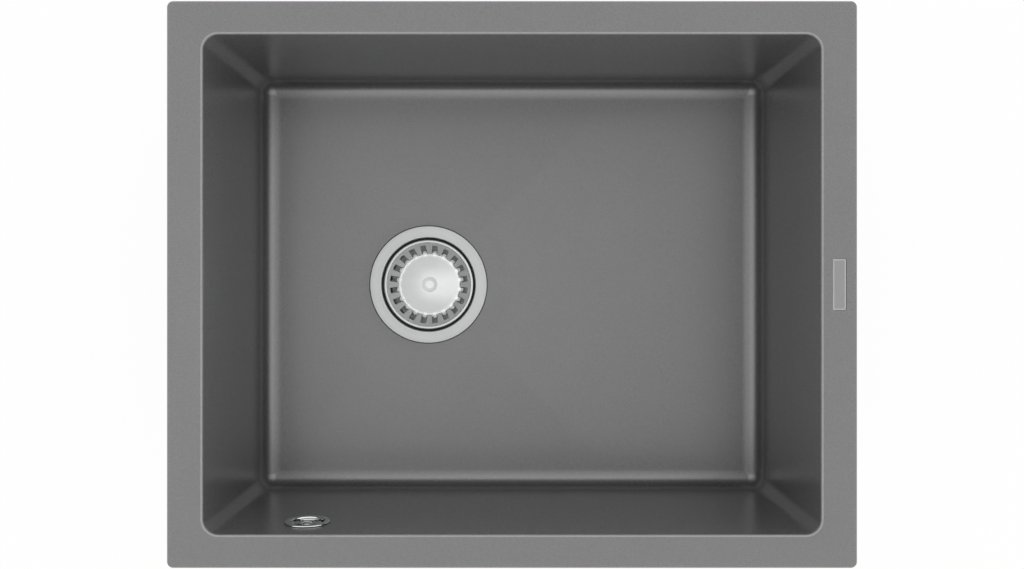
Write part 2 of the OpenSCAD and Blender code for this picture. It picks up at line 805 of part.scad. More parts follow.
module overflow_screw() {
    head_h = 2.2;
    slit_w = 1;
    color(CHROME)
        at_overflow()
            translate([0, 0, cover_screw_z])
                difference() {
                    rotate_extrude()
                        polygon([
                            [0, -cover_screw_l], [screw_r, -cover_screw_l], [screw_r, 0],
                            [cover_screw_head_r, 0], [cover_screw_head_r, head_h - 1.2],
                            [cover_screw_head_r - 1.4, head_h - 0.3], [0, head_h]
                        ]);
                    translate([-cover_screw_head_r, -slit_w / 2, head_h / 2])
                        cube([2 * cover_screw_head_r, slit_w, head_h]);
                }
}

module overflow_front_seal() {
    color(RUBBER)
        at_overflow()
            difference() {
                translate([0, 0, wall_gap])
                    cylinder(r = cover_r - 0.6, h = front_seal_t - wall_gap);
                translate([0, 0, -over])
                    cylinder(r = overflow_hole_r, h = front_seal_t + 2 * over);
            }
}

module overflow_rear_seal() {
    color(RUBBER)
        at_overflow()
            translate([0, 0, elbow_face])
                difference() {
                    cylinder(r = elbow_flange_r - 1, h = rear_seal_t);
                    translate([0, 0, -over])
                        cylinder(r = overflow_hole_r, h = rear_seal_t + 2 * over);
                }
}

// The elbow's outlet: a vertical tube closed by a half ball, of a given radius
module elbow_tube(r, end_z) {
    translate([overflow_x, elbow_out_y, end_z])
        cylinder(r = r, h = elbow_bend_z - end_z);
    translate([overflow_x, elbow_out_y, elbow_bend_z])
        sphere(r = r);
}

module overflow_elbow() {
    color(WHITE_PLASTIC)
        difference() {
            union() {
                at_overflow() {
                    translate([0, 0, elbow_face - elbow_flange_t])
                        cylinder(r = elbow_flange_r, h = elbow_flange_t);
                    translate([0, 0, elbow_back])
                        cylinder(r = drum_r, h = elbow_depth);
                }
                elbow_tube(spigot_r, elbow_end_z);
            }
            difference() {
                union() {
                    at_overflow() {
                        translate([0, 0, elbow_back + elbow_wall])
                            cylinder(r = drum_bore_r, h = elbow_depth);
                    }
                    elbow_tube(spigot_bore_r, elbow_end_z - over);
                }
                at_overflow()
                    translate([0, 0, elbow_back + over])
                        cylinder(r = stub_r, h = stub_face - elbow_back - over);
            }
            at_overflow()
                translate([0, 0, stub_face - insert_l])
                    cylinder(r = insert_hole_r, h = insert_l + over);
        }
}

// A brass insert with its mouth at the origin, reaching up into what holds it
module brass_insert() {
    difference() {
        cylinder(r = insert_r, h = insert_l);
        translate([0, 0, -over])
            cylinder(r = screw_hole_r, h = insert_l + 2 * over);
    }
}

module overflow_insert() {
    color(BRASS)
        at_overflow()
            translate([0, 0, stub_face - insert_l])
                brass_insert();
}

// Distance from the waste's axis and height of the hose's centre, t along it from the top
function hose_bend_angle(t) = min(90, max(0, (t - hose_down_l) / hose_bend_r * 180 / PI));
function hose_at(t) =
    let (a = hose_bend_angle(t),
         level = max(0, t - hose_down_l - hose_bend_l))
        [hose_span - hose_bend_r * (1 - cos(a)) - level,
         hose_top_z - min(t, hose_down_l) - hose_bend_r * sin(a)];

// A ring of the hose at t, square to its centre line
function hose_ring(t, r) =
    let (p = hose_at(t), a = hose_bend_angle(t))
        [for (i = [0 : tube_sides - 1])
            let (turn = 360 * (i + 0.5) / tube_sides,
                 s = p[0] + r * cos(turn) * cos(a),
                 side = -r * sin(turn))
                [drain_x + s * cos(hose_turn) - side * sin(hose_turn),
                 s * sin(hose_turn) + side * cos(hose_turn),
                 p[1] - r * cos(turn) * sin(a)]];

// Rings in a closed chain: down the outside of the hose and back up its bore
module overflow_hose() {
    steps = ceil(hose_l / hose_bore_step);
    outside = concat(
        [[0, hose_collar_r], [hose_collar_t, hose_collar_r], [hose_collar_t, hose_valley_r]],
        [for (i = [0 : hose_ribs - 1])
            each [[hose_rib_start + i * hose_pitch, hose_valley_r],
                  [hose_rib_start + (i + 0.5) * hose_pitch, hose_crest_r]]],
        [[hose_rib_start + hose_ribs * hose_pitch, hose_valley_r],
         [hose_l - hose_collar_t, hose_valley_r], [hose_l - hose_collar_t, hose_collar_r],
         [hose_l, hose_collar_r]]
    );
    bore = [for (i = [steps : -1 : 0]) [hose_l * i / steps, hose_bore_r]];
    chain = concat(outside, bore);
    count = len(chain);
    n = tube_sides;
    color(GREY_PLASTIC)
        polyhedron(
            points = [for (c = chain) each hose_ring(c[0], c[1])],
            faces = [
                for (k = [0 : count - 1])
                    for (i = [0 : n - 1])
                        let (next = (k + 1) % count, j = (i + 1) % n)
                            each [[k * n + i, next * n + i, next * n + j],
                                  [k * n + i, next * n + j, k * n + j]]
            ]
        );
}

// Places its children on the elbow's outlet, +Z down towards the hose
module at_elbow_end() {
    translate([overflow_x, elbow_out_y, elbow_end_z])
        rotate([180, 0, 0])
            children();
}

module hose_nut() {
    grip = 1.2;
    length = hose_nut_grip + hose_nut_end;
    color(WHITE_PLASTIC)
        difference() {
            translate([0, 0, -hose_nut_grip])
                union() {
                    cylinder(r = hose_nut_r, h = length);
                    for (i = [0 : nut_grips - 1])
                        rotate(360 * i / nut_grips)
                            translate([0, -grip, 0])
                                cube([hose_nut_r + grip, 2 * grip, length]);
                }
            translate([0, 0, -hose_nut_grip - over])
                cylinder(r = hose_nut_bore_r,
                         h = hose_nut_grip + over + hose_seal_t + hose_collar_t);
            cylinder(r = hose_nut_lip_r, h = hose_nut_end + over);
        }
}

module hose_seal() {
    color(RUBBER)
        difference() {
            cylinder(r = hose_collar_r, h = hose_seal_t);
            translate([0, 0, -over])
                cylinder(r = spigot_bore_r, h = hose_seal_t + 2 * over);
        }
}

module hose_nut_upper() {
    at_elbow_end() hose_nut();
}

module hose_seal_upper() {
    at_elbow_end() hose_seal();
}

module hose_nut_lower() {
    at_inlet() translate([0, 0, inlet_reach]) hose_nut();
}

module hose_seal_lower() {
    at_inlet() translate([0, 0, inlet_reach]) hose_seal();
}

module clip_inserts() {
    color(BRASS)
        for (i = [0 : len(CLIPS) - 1])
            at_clip(i)
                translate([0, 0, -boss_h])
                    brass_insert();
}

module clip_screws() {
    socket_w = 2.5;
    color(STEEL)
        for (i = [0 : len(CLIPS) - 1])
            at_clip(i)
                translate([0, 0, clip_head_z - clip_head_h])
                    difference() {
                        union() {
                            cylinder(r = clip_head_r, h = clip_head_h);
                            cylinder(r = screw_r, h = clip_head_h + clip_screw_l);
                        }
                        translate([0, 0, -over])
                            cylinder(r = socket_w, h = over + clip_head_h * 0.6, $fn = 6);
                    }
}

module clip_washers() {
    color(STEEL)
        for (i = [0 : len(CLIPS) - 1])
            at_clip(i)
                translate([0, 0, clip_head_z])
                    difference() {
                        cylinder(r = clip_w / 2, h = washer_t);
                        translate([0, 0, -over])
                            cylinder(r = screw_hole_r, h = washer_t + 2 * over);
                    }
}

// One swivelling clip: a strip on its screw, with a toothed tip that bites under the worktop
module fixing_clip(i) {
    teeth = 3;
    tooth = clip_w / teeth;
    color(STEEL)
        at_clip(i)
            rotate(90 * CLIPS[i][3])
                translate([0, 0, clip_under_z])
                    difference() {
                        union() {
                            cylinder(r = clip_w / 2, h = clip_t);
                            translate([0, -clip_w / 2, 0])
                                cube([clip_l, clip_w, clip_t]);
                            translate([clip_l, 0, 0])
                                rotate([90, 0, -90])
                                    linear_extrude(clip_t)
                                        polygon(concat(
                                            [[clip_w / 2, 0], [-clip_w / 2, 0]],
                                            [for (k = [0 : teeth - 1])
                                                each [
                                                    [-clip_w / 2 + k * tooth, clip_t + clip_tip_h - 1.5],
                                                    [-clip_w / 2 + (k + 0.5) * tooth, clip_t + clip_tip_h]
                                                ]],
                                            [[clip_w / 2, clip_t + clip_tip_h - 1.5]]
                                        ));
                        }
                        translate([0, 0, -over])
                            cylinder(r = screw_hole_r, h = clip_t + 2 * over);
                    }
}

sink_bowl();
name_plate();
drain_flange();
flange_seal();
basket();
basket_seal();
basket_button();
basket_stem();
stem_sleeve();
clamp_screw();
clamp_nut();
waste_seal();
waste_body();
overflow_cover();
overflow_screw();
overflow_front_seal();
overflow_rear_seal();
overflow_elbow();
overflow_insert();
overflow_hose();
hose_nut_upper();
hose_nut_lower();
hose_seal_upper();
hose_seal_lower();
clip_inserts();
clip_screws();
clip_washers();
fixing_clip(0);  // clip_front_left
fixing_clip(1);  // clip_front_right
fixing_clip(2);  // clip_back_left
fixing_clip(3);  // clip_back_right
fixing_clip(4);  // clip_left_front
fixing_clip(5);  // clip_left_back
fixing_clip(6);  // clip_right_front
fixing_clip(7);  // clip_right_back
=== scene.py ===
"""Looks of a single-bowl composite granite kitchen sink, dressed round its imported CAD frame.

Sizes are in millimetres and turn into metres where a mesh is made. The origin is the middle of
the worktop cut-out on the worktop's plane, +X to the right, +Y to the back, +Z up.
"""

import sys

import logging
import math
from dataclasses import dataclass, field
from enum import Enum
from typing import Any, Iterable, Optional, Sequence, Union

import bmesh
import bpy
import numpy as np
from mathutils import Matrix


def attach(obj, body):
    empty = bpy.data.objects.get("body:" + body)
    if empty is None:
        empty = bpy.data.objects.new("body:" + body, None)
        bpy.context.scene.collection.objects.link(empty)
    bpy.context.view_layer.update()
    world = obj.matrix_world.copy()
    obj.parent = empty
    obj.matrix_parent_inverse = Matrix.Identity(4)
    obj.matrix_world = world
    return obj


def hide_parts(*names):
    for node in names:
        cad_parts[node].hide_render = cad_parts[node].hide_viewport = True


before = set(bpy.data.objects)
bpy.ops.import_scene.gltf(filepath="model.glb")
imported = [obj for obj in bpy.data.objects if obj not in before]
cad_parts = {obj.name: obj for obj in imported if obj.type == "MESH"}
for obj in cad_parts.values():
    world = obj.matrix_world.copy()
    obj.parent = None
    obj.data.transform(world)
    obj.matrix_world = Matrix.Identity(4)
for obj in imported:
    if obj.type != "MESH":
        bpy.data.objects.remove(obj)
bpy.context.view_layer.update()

log = logging.getLogger("granite_sink")

MM = 0.001
TURN = 2.0 * math.pi
Array = np.ndarray
Colour = tuple[float, float, float]

CARRIER = "basket_carrier"
BASKET = "basket"
SINK = "sink"

DRAIN = (-83.0, 0.0)
DRAIN_AXIS = (*DRAIN, 0.0)
DRAIN_FLOOR = -185.0
BADGE_X = 265.5
WHITE = (1.0, 1.0, 1.0, 1.0)

SPIGOT = 12.0
SPIGOT_BORE = 9.0
SPIGOT_PITCH = 2.0
SPIGOT_DEPTH = 0.8


class Wire:
    """A shader socket on which Python operators add Math nodes."""

    def __init__(self, kit: "NodeKit", socket: bpy.types.NodeSocket) -> None:
        self.kit = kit
        self.socket = socket

    def _math(self, operation: str, left: Any, right: Any = 0.0) -> "Wire":
        """Adds one Math node for two sockets or numbers."""
        return self.kit.node("ShaderNodeMath", {"operation": operation}, {0: left, 1: right})

    def __add__(self, other: Any) -> "Wire":
        """Sum."""
        return self._math("ADD", self, other)

    def __radd__(self, other: Any) -> "Wire":
        """Sum with a number on the left."""
        return self._math("ADD", other, self)

    def __sub__(self, other: Any) -> "Wire":
        """Difference."""
        return self._math("SUBTRACT", self, other)

    def __rsub__(self, other: Any) -> "Wire":
        """Difference from a number on the left."""
        return self._math("SUBTRACT", other, self)

    def __mul__(self, other: Any) -> "Wire":
        """Product."""
        return self._math("MULTIPLY", self, other)

    def __rmul__(self, other: Any) -> "Wire":
        """Product with a number on the left."""
        return self._math("MULTIPLY", other, self)

    def __pow__(self, other: Any) -> "Wire":
        """Power."""
        return self._math("POWER", self, other)

    def __gt__(self, other: Any) -> "Wire":
        """One where this value is the larger, zero elsewhere."""
        return self._math("GREATER_THAN", self, other)

    def __lt__(self, other: Any) -> "Wire":
        """One where this value is the smaller, zero elsewhere."""
        return self._math("LESS_THAN", self, other)

    def above(self, other: Any) -> "Wire":
        """The larger of two values."""
        return self._math("MAXIMUM", self, other)


class NodeKit:
    """Makes the nodes of one material or world."""

    def __init__(self, tree: bpy.types.NodeTree) -> None:
        """Starts with an empty tree."""
        tree.nodes.clear()
        self.tree = tree

    def node(
        self,
        kind: str,
        settings: Optional[dict[str, Any]] = None,
        inputs: Optional[dict[Union[int, str], Any]] = None,
        output: Union[int, str] = 0,
    ) -> Wire:
        """Adds a node, sets it up and feeds it.

        Args:
            kind: the node's type.
            settings: properties, set first.
            inputs: values or wires by socket name or number.
            output: the socket that the wire is taken from.

        Returns:
            The wire of that output, or of none if the node has no output.
        """
        made = self.tree.nodes.new(kind)
        for name, value in (settings or {}).items():
            setattr(made, name, value)
        for key, value in (inputs or {}).items():
            if isinstance(value, Wire):
                self.tree.links.new(value.socket, made.inputs[key])
            else:
                made.inputs[key].default_value = value
        return Wire(self, made.outputs[output] if len(made.outputs) else None)

    def place(self, offset: Sequence[float] = (0.0, 0.0, 0.0)) -> Wire:
        """Object coordinates in metres, moved so that an offset in millimetres is the origin."""
        here = self.node("ShaderNodeTexCoord", output="Object")
        shift = tuple(-v * MM for v in offset)
        return self.node("ShaderNodeMapping", inputs={"Vector": here, "Location": shift})

    def noise(self, where: Wire, scale: float, detail: float = 2.0, rough: float = 0.5) -> Wire:
        """Noise from 0 to 1 about one half.

        Args:
            where: the place on the object.
            scale: cells per metre.
            detail: how many finer layers are added.
            rough: strength of each finer layer over the one before.

        Returns:
            The wire.
        """
        return self.node(
            "ShaderNodeTexNoise",
            inputs={"Vector": where, "Scale": scale, "Detail": detail, "Roughness": rough},
        )

    def cells(self, where: Wire, scale: float, output: str = "Color") -> Wire:
        """Voronoi cells: a random colour or the distance to the cell's middle."""
        return self.node(
            "ShaderNodeTexVoronoi", inputs={"Vector": where, "Scale": scale}, output=output
        )

    def split(self, vector: Wire, part: str) -> Wire:
        """One part of a vector or colour: X, Y or Z."""
        return self.node("ShaderNodeSeparateXYZ", inputs={0: vector}, output=part)

    def mix(self, share: Any, first: Any, second: Any) -> Wire:
        """Blends two colours by a share from 0 to 1.

        Args:
            share: how much of the second colour.
            first: a colour or a wire.
            second: a colour or a wire.

        Returns:
            The wire.
        """
        pad = [(*c, 1.0) if isinstance(c, tuple) else c for c in (first, second)]
        return self.node(
            "ShaderNodeMix", {"data_type": "RGBA"}, {0: share, 6: pad[0], 7: pad[1]}, 2
        )

    def ramp(
        self, value: Wire, low: float, high: float, to_low: float = 0.0, to_high: float = 1.0
    ) -> Wire:
        """Stretches a value's range onto another one, held inside it."""
        return self.node(
            "ShaderNodeMapRange", inputs={0: value, 1: low, 2: high, 3: to_low, 4: to_high}
        )

    def steps(self, value: Wire, knots: Sequence[tuple[float, float]]) -> Any:
        """A number that changes evenly from knot to knot, and stays the same beyond the end ones.

        Args:
            value: what the knots are places on.
            knots: places in rising order, each with the number that holds there.

        Returns:
            The wire.
        """
        total: Any = knots[0][1]
        for (low, before), (high, after) in zip(knots, knots[1:]):
            total = self.ramp(value, low, high, 0.0, after - before) + total
        return total

    def bump(self, height: Wire, depth_mm: float, strength: float = 1.0) -> Wire:
        """Turns a height from 0 to 1 into a bumped normal.

        Args:
            height: the height.
            depth_mm: how deep a height of 1 is.
            strength: how strongly the normal leans.

        Returns:
            The wire of the normal.
        """
        return self.node(
            "ShaderNodeBump",
            inputs={"Height": height, "Distance": depth_mm * MM, "Strength": strength},
            output="Normal",
        )

    def radius(self, where: Wire) -> Wire:
        """Distance from the Z axis of the given coordinates."""
        x, y = self.split(where, "X"), self.split(where, "Y")
        return (x * x + y * y) ** 0.5

    def within(self, where: Wire, half: Sequence[float]) -> Wire:
        """One where X and Y are inside half sizes in millimetres, zero elsewhere."""
        x, y = self.split(where, "X"), self.split(where, "Y")
        return ((half[0] * MM) ** 2 > x * x) * ((half[1] * MM) ** 2 > y * y)


def toned(colour: Colour, gain: float) -> Colour:
    """A colour times a gain, held at white."""
    return tuple(min(c * gain, 1.0) for c in colour)


@dataclass(frozen=True)
class Finish:
    """A surface finish made with one principled shader; what varies comes from paint."""

    name: str
    slot: str
    colour: Colour = (0.5, 0.5, 0.5)
    rough: float = 0.5
    metal: float = 0.0
    specular: float = 0.5
    ior: float = 1.5

    def paint(self, kit: NodeKit) -> dict[str, Any]:
        """What varies over the surface, as shader inputs by name."""
        raise NotImplementedError

    def material(self) -> bpy.types.Material:
        """The material, made the first time and found by its name afterwards.

        Returns:
            The material.
        """
        known = bpy.data.materials.get(self.name)
        if known:
            return known
        made = bpy.data.materials.new(self.name)
        made.use_nodes = True
        kit = NodeKit(made.node_tree)
        inputs: dict[str, Any] = {
            "Base Color": (*self.colour, 1.0),
            "Roughness": self.rough,
            "Metallic": self.metal,
            "Specular IOR Level": self.specular,
            "IOR": self.ior,
        }
        inputs.update(self.paint(kit))
        shader = kit.node("ShaderNodeBsdfPrincipled", inputs=inputs)
        kit.node("ShaderNodeOutputMaterial", inputs={"Surface": shader})
        made.diffuse_color = (*self.colour, 1.0)
        return made


@dataclass(frozen=True)
class Granite(Finish):
    """Quartz grains bound in resin: close grey tones grain by grain, a few light and dark chips.

    Scales are per metre, heights and half sizes in millimetres. A chip is given by the share of
    cells without one, its strength, and its tone over the body's. The knots of wall are heights
    in the bowl, each with the tone that holds there: painted shade that darkens the walls low
    down and the floor's edge, a dark painted band in the fillet and a painted highlight below it.
    The mouth's rounded edge carries a painted highlight.
    """

    grain_scale: float = 1500.0
    fine_scale: float = 2600.0
    cloud_scale: float = 26.0
    chip_scale: float = 420.0
    relief_scale: float = 1900.0
    contrast: float = 0.24
    fine_share: float = 0.42
    cloud_share: float = 0.11
    chip_edge: tuple[float, float] = (0.10, 0.22)
    light_chip: tuple[float, float, float] = (0.93, 0.55, 2.1)
    dark_chip: tuple[float, float, float] = (0.90, 0.5, 0.32)
    relief_mm: float = 0.02
    # Painted highlight on the mouth's rounded edge: its share, half sizes and heights.
    edge_highlight: float = 0.98
    edge_highlight_half: tuple[float, float] = (262.0, 214.0)
    edge_highlight_start: tuple[float, float] = (5.4, 5.8)
    edge_highlight_end: tuple[float, float] = (7.97, 7.8)
    bowl_half: tuple[float, float] = (252.5, 204.5)
    bowl_low: float = -187.5
    bowl_high: float = 5.5
    # Painted shade and highlight by height: walls darker low down, a dark band and a bright line
    # in the fillet, a darker floor edge.
    wall: tuple[tuple[float, float], ...] = (
        (-182.6, 0.95), (-182.1, 0.86), (-181.9, 0.72), (-181.4, 1.15), (-179.2, 1.42),
        (-177.7, 0.78), (-175.2, 0.5), (-172.4, 0.34), (-169.9, 0.56), (-167.4, 0.9),
        (-160.0, 0.93), (-120.0, 0.94), (-60.0, 0.96), (0.0, 1.06),
    )

    def _painted_light(self, kit: NodeKit, here: Wire) -> Wire:
        """Painted highlight on the mouth's edge, painted shade and highlight by height.

        Args:
            kit: makes the nodes.
            here: the place on the object.

        Returns:
            The number that the tone is multiplied by.
        """
        z = kit.split(here, "Z")
        start, end = ((low * MM, high * MM) for low, high in (self.edge_highlight_start, self.edge_highlight_end))
        # Painted highlight: the mouth's rounded edge is made paler.
        painted_highlight = kit.ramp(z, *start) * kit.ramp(z, *end) * kit.within(here, self.edge_highlight_half)
        # Painted shade and highlight on the bowl's walls, fillet and floor edge, by height.
        inside = kit.within(here, self.bowl_half) * (z < self.bowl_high * MM)
        inside = inside * (z > self.bowl_low * MM)
        height = kit.steps(z, [(place * MM, tone) for place, tone in self.wall])
        return 1.0 + painted_highlight * self.edge_highlight + inside * (height - 1.0)

    def paint(self, kit: NodeKit) -> dict[str, Any]:
        """Grain tone, chips, a soft cloud over the slab, painted light, and the grains' relief.

        Args:
            kit: makes the nodes.

        Returns:
            Shader inputs by name.
        """
        here = kit.place()
        grain = kit.split(kit.cells(here, self.grain_scale), "X")
        fine = kit.noise(here, self.fine_scale, 2.0, 0.6)
        cloud = kit.noise(here, self.cloud_scale, 3.0, 0.55)
        tone = 1.0 + (grain - 0.5) * self.contrast
        tone = tone + (fine - 0.5) * self.fine_share + (cloud - 0.5) * self.cloud_share
        body = kit.node(
            "ShaderNodeVectorMath",
            {"operation": "SCALE"},
            {0: self.colour, "Scale": tone * self._painted_light(kit, here)},
        )
        chip = kit.cells(here, self.chip_scale)
        spot = 1.0 - kit.ramp(kit.cells(here, self.chip_scale, "Distance"), *self.chip_edge)
        for part, (without, strength, gain) in (("X", self.light_chip), ("Y", self.dark_chip)):
            share = (kit.split(chip, part) > without) * spot * strength
            body = kit.mix(share, body, toned(self.colour, gain))
        relief = kit.noise(here, self.relief_scale, 3.0, 0.6) * 0.6 + grain * 0.4
        return {
            "Base Color": body,
            "Roughness": kit.ramp(fine, 0.3, 0.7, self.rough - 0.05, self.rough + 0.07),
            "Normal": kit.bump(relief, self.relief_mm, 0.3),
        }


@dataclass(frozen=True)
class TurnedSteel(Finish):
    """Steel with fine rings from turning or polishing round an axis.

    Lengths are in millimetres, the rings' scale per metre. Above the height satin_above and
    inside the radius satin_inside the steel is blasted: rougher, and pale by the share given.
    Between the radii of ledge its colour is raised by the gain given, a painted highlight.
    """

    centre: tuple[float, float, float] = (0.0, 0.0, 0.0)
    rings: float = 2400.0
    depth: float = 0.004
    satin_above: float = 0.0
    satin_inside: float = 0.0
    satin_rough: float = 0.38
    pale: float = 0.0
    cloud_scale: float = 70.0
    # Radii and colour gain of a painted highlight ring.
    ledge: tuple[float, float] = (0.0, 0.0)
    gain: float = 1.0

    def paint(self, kit: NodeKit) -> dict[str, Any]:
        """Rings by the distance from the axis, a faint cloud, satin and a painted ledge highlight.

        Args:
            kit: makes the nodes.

        Returns:
            Shader inputs by name.
        """
        here = kit.place(self.centre)
        radius = kit.radius(here)
        ring = kit.node(
            "ShaderNodeTexNoise",
            {"noise_dimensions": "1D"},
            {"W": radius, "Scale": self.rings, "Detail": 3.0},
        )
        high_up = kit.split(here, "Z") > self.satin_above * MM
        blasted = high_up * (radius < self.satin_inside * MM)
        cloud = kit.noise(here, self.cloud_scale, 3.0)
        tone = kit.ramp(ring * 0.6 + cloud * 0.4, 0.3, 0.7)
        steel = kit.mix(tone, toned(self.colour, 0.94), toned(self.colour, 1.05))
        start, end = self.ledge
        # Painted highlight: the ledge ring's colour is raised by the gain.
        painted_highlight = (radius > start * MM) * (radius < end * MM) * (1.0 - blasted)
        gloss = kit.ramp(ring, 0.3, 0.7, self.rough * 0.85, self.rough * 1.2)
        return {
            "Base Color": kit.mix(painted_highlight, steel, toned(self.colour, self.gain)),
            "Roughness": gloss + blasted * self.satin_rough,
            "Metallic": 1.0 - blasted * self.pale,
            "Normal": kit.bump(ring, self.depth, 0.6),
        }


@dataclass(frozen=True)
class CloudedMetal(Finish):
    """Plated or cast metal: a cloud of tone and a fine grain in its gloss."""

    cloud_scale: float = 120.0
    tint: Colour = (0.5, 0.5, 0.5)
    depth: float = 0.01

    def paint(self, kit: NodeKit) -> dict[str, Any]:
        """Tone from large and small noise, gloss from the small one.

        Args:
            kit: makes the nodes.

        Returns:
            Shader inputs by name.
        """
        here = kit.place()
        large = kit.noise(here, self.cloud_scale, 3.0)
        small = kit.noise(here, self.cloud_scale * 14.0, 2.0)
        tone = kit.ramp(large * 0.7 + small * 0.3, 0.35, 0.65)
        return {
            "Base Color": kit.mix(tone, self.tint, self.colour),
            "Roughness": kit.ramp(small, 0.3, 0.7, self.rough * 0.8, self.rough * 1.25),
            "Normal": kit.bump(small, self.depth, 0.5),
        }


@dataclass(frozen=True)
class FramedMetal(CloudedMetal):
    """A stamped plate: the field is duller than the border, which is left bright."""

    centre: tuple[float, float, float] = (0.0, 0.0, 0.0)
    field_half: tuple[float, float] = (0.0, 0.0)
    dull: float = 0.7

    def paint(self, kit: NodeKit) -> dict[str, Any]:
        """The clouded metal, darker within the field's half sizes in millimetres.

        Args:
            kit: makes the nodes.

        Returns:
            Shader inputs by name.
        """
        inputs = super().paint(kit)
        inside = kit.within(kit.place(self.centre), self.field_half)
        inputs["Base Color"] = kit.mix(inside, inputs["Base Color"], toned(self.colour, self.dull))
        return inputs


@dataclass(frozen=True)
class Moulded(Finish):
    """Moulded plastic or rubber: spark-eroded skin with a slight unevenness of tone."""

    skin_scale: float = 900.0
    slow_scale: float = 45.0
    depth: float = 0.02
    uneven: float = 0.06

    def paint(self, kit: NodeKit) -> dict[str, Any]:
        """Tone from a slow noise, relief and gloss from the skin.

        Args:
            kit: makes the nodes.

        Returns:
            Shader inputs by name.
        """
        here = kit.place()
        skin = kit.noise(here, self.skin_scale, 2.0, 0.6)
        slow = kit.ramp(kit.noise(here, self.slow_scale, 3.0), 0.3, 0.7)
        low, high = (toned(self.colour, 1.0 + self.uneven * side) for side in (-1.0, 1.0))
        return {
            "Base Color": kit.mix(slow, low, high),
            "Roughness": kit.ramp(skin, 0.3, 0.7, self.rough * 0.88, self.rough * 1.1),
            "Normal": kit.bump(skin, self.depth, 0.5),
        }


class Finishes(Enum):
    """Every finish on the sink."""

    GRANITE = Granite("composite_granite", "granite", (0.129, 0.1295, 0.13), 0.27, ior=1.95)
    FLANGE = TurnedSteel(
        "turned_flange_steel", "brushed_steel", (0.565, 0.575, 0.572), 0.42, 1.0,
        centre=DRAIN_AXIS,
    )
    PLATE = FramedMetal(
        "satin_plate_steel", "brushed_steel", (0.45, 0.45, 0.45), 0.36, 1.0,
        tint=(0.41, 0.41, 0.41), cloud_scale=300.0, centre=(BADGE_X, 0.0, 0.0),
        field_half=(4.3, 19.65), dull=0.68,
    )
    BASKET = TurnedSteel(
        "polished_basket_steel", "polished_steel", (0.62, 0.63, 0.626), 0.16, 1.0,
        centre=DRAIN_AXIS, depth=0.002, satin_above=-203.3, satin_inside=41.6, pale=0.55,
        # A painted highlight ring over the ledge in front of the slots.
        ledge=(28.9, 32.6), gain=1.16,
    )
    CHROME = CloudedMetal(
        "bright_chrome", "chrome", (0.78, 0.79, 0.80), 0.09, 1.0, tint=(0.74, 0.75, 0.76),
        depth=0.001,
    )
    ZINC = CloudedMetal(
        "zinc_plating", "zinc_steel", (0.55, 0.57, 0.60), 0.33, 1.0, tint=(0.44, 0.46, 0.48),
        cloud_scale=380.0,
    )
    BRASS = CloudedMetal(
        "turned_brass", "brass", (0.62, 0.42, 0.14), 0.28, 1.0, tint=(0.50, 0.33, 0.11)
    )
    RUBBER = Moulded("black_rubber", "rubber", (0.012, 0.012, 0.012), 0.62, specular=0.35)
    WHITE = Moulded("white_moulding", "white_plastic", (0.72, 0.72, 0.70), 0.40, uneven=0.03)
    HOSE = Moulded("pale_grey_hose", "hose_plastic", (0.40, 0.41, 0.42), 0.42, depth=0.01)
    GREY = Moulded("grey_moulding", "grey_plastic", (0.26, 0.27, 0.28), 0.45)


class SharpAngle(Enum):
    """Degrees between two faces above which their edge is drawn sharp."""

    SOFT = 60.0
    USUAL = 34.0
    CRISP = 20.0


@dataclass
class Skin:
    """A surface in millimetres: points and four-cornered faces."""

    points: Array
    quads: Array

    @staticmethod
    def grid(
        points: Array,
        close_rows: bool = False,
        close_columns: bool = True,
        kept: Optional[Array] = None,
    ) -> "Skin":
        """Faces between neighbours on a grid of points.

        Args:
            points: rows x columns x 3.
            close_rows: whether the last row meets the first.
            close_columns: whether the last column meets the first.
            kept: mask of the cells that get a face, rows x columns.

        Returns:
            The skin.
        """
        rows, columns = points.shape[:2]
        index = np.arange(rows * columns).reshape(rows, columns)
        if close_rows:
            index = np.vstack([index, index[:1]])
        if close_columns:
            index = np.hstack([index, index[:, :1]])
        quads = np.stack([index[:-1, :-1], index[:-1, 1:], index[1:, 1:], index[1:, :-1]], axis=-1)
        if kept is not None:
            quads = quads[kept[: quads.shape[0], : quads.shape[1]]]
        return Skin(points.reshape(-1, 3), quads.reshape(-1, 4))

    def placed(self, matrix: Matrix) -> "Skin":
        """The skin moved by a matrix in millimetres."""
        m = np.array(matrix)
        return Skin(self.points @ m[:3, :3].T + m[:3, 3], self.quads)


def soften(
    corners: Sequence[Sequence[float]],
    reach: Union[float, Sequence[float]],
    steps: int = 5,
    closed: bool = True,
) -> Array:
    """Rounds the corners of a profile.

    Each corner becomes a curve (1-t)^2 A + 2t(1-t) C + t^2 B, where C is the corner and A and B
    lie at the reach from it on its two sides, at most at 0.48 of the side.

    Args:
        corners: the profile's points.
        reach: how far each corner's rounding reaches, one number or one for each.
        steps: points on each rounding.
        closed: whether the profile closes on itself; else its ends stay.

    Returns:
        The points of the rounded profile.
    """
    c = np.asarray(corners, float)
    limit = np.broadcast_to(np.asarray(reach, float), (len(c),)).copy()
    if not closed:
        limit[[0, -1]] = 0.0
    sides = []
    for shift in (1, -1):
        along = np.roll(c, shift, axis=0) - c
        length = np.maximum(np.linalg.norm(along, axis=1), 1e-9)
        step = np.minimum(limit, 0.48 * length)
        sides.append(c + along / length[:, None] * step[:, None])
    t = np.linspace(0.0, 1.0, steps)[None, :, None]
    a, b, m = sides[0][:, None], sides[1][:, None], c[:, None]
    return ((1 - t) ** 2 * a + 2 * t * (1 - t) * m + t**2 * b).reshape(-1, 2)


def around(columns: int) -> Array:
    """Angles of a full turn in equal steps."""
    return np.arange(columns) * TURN / columns


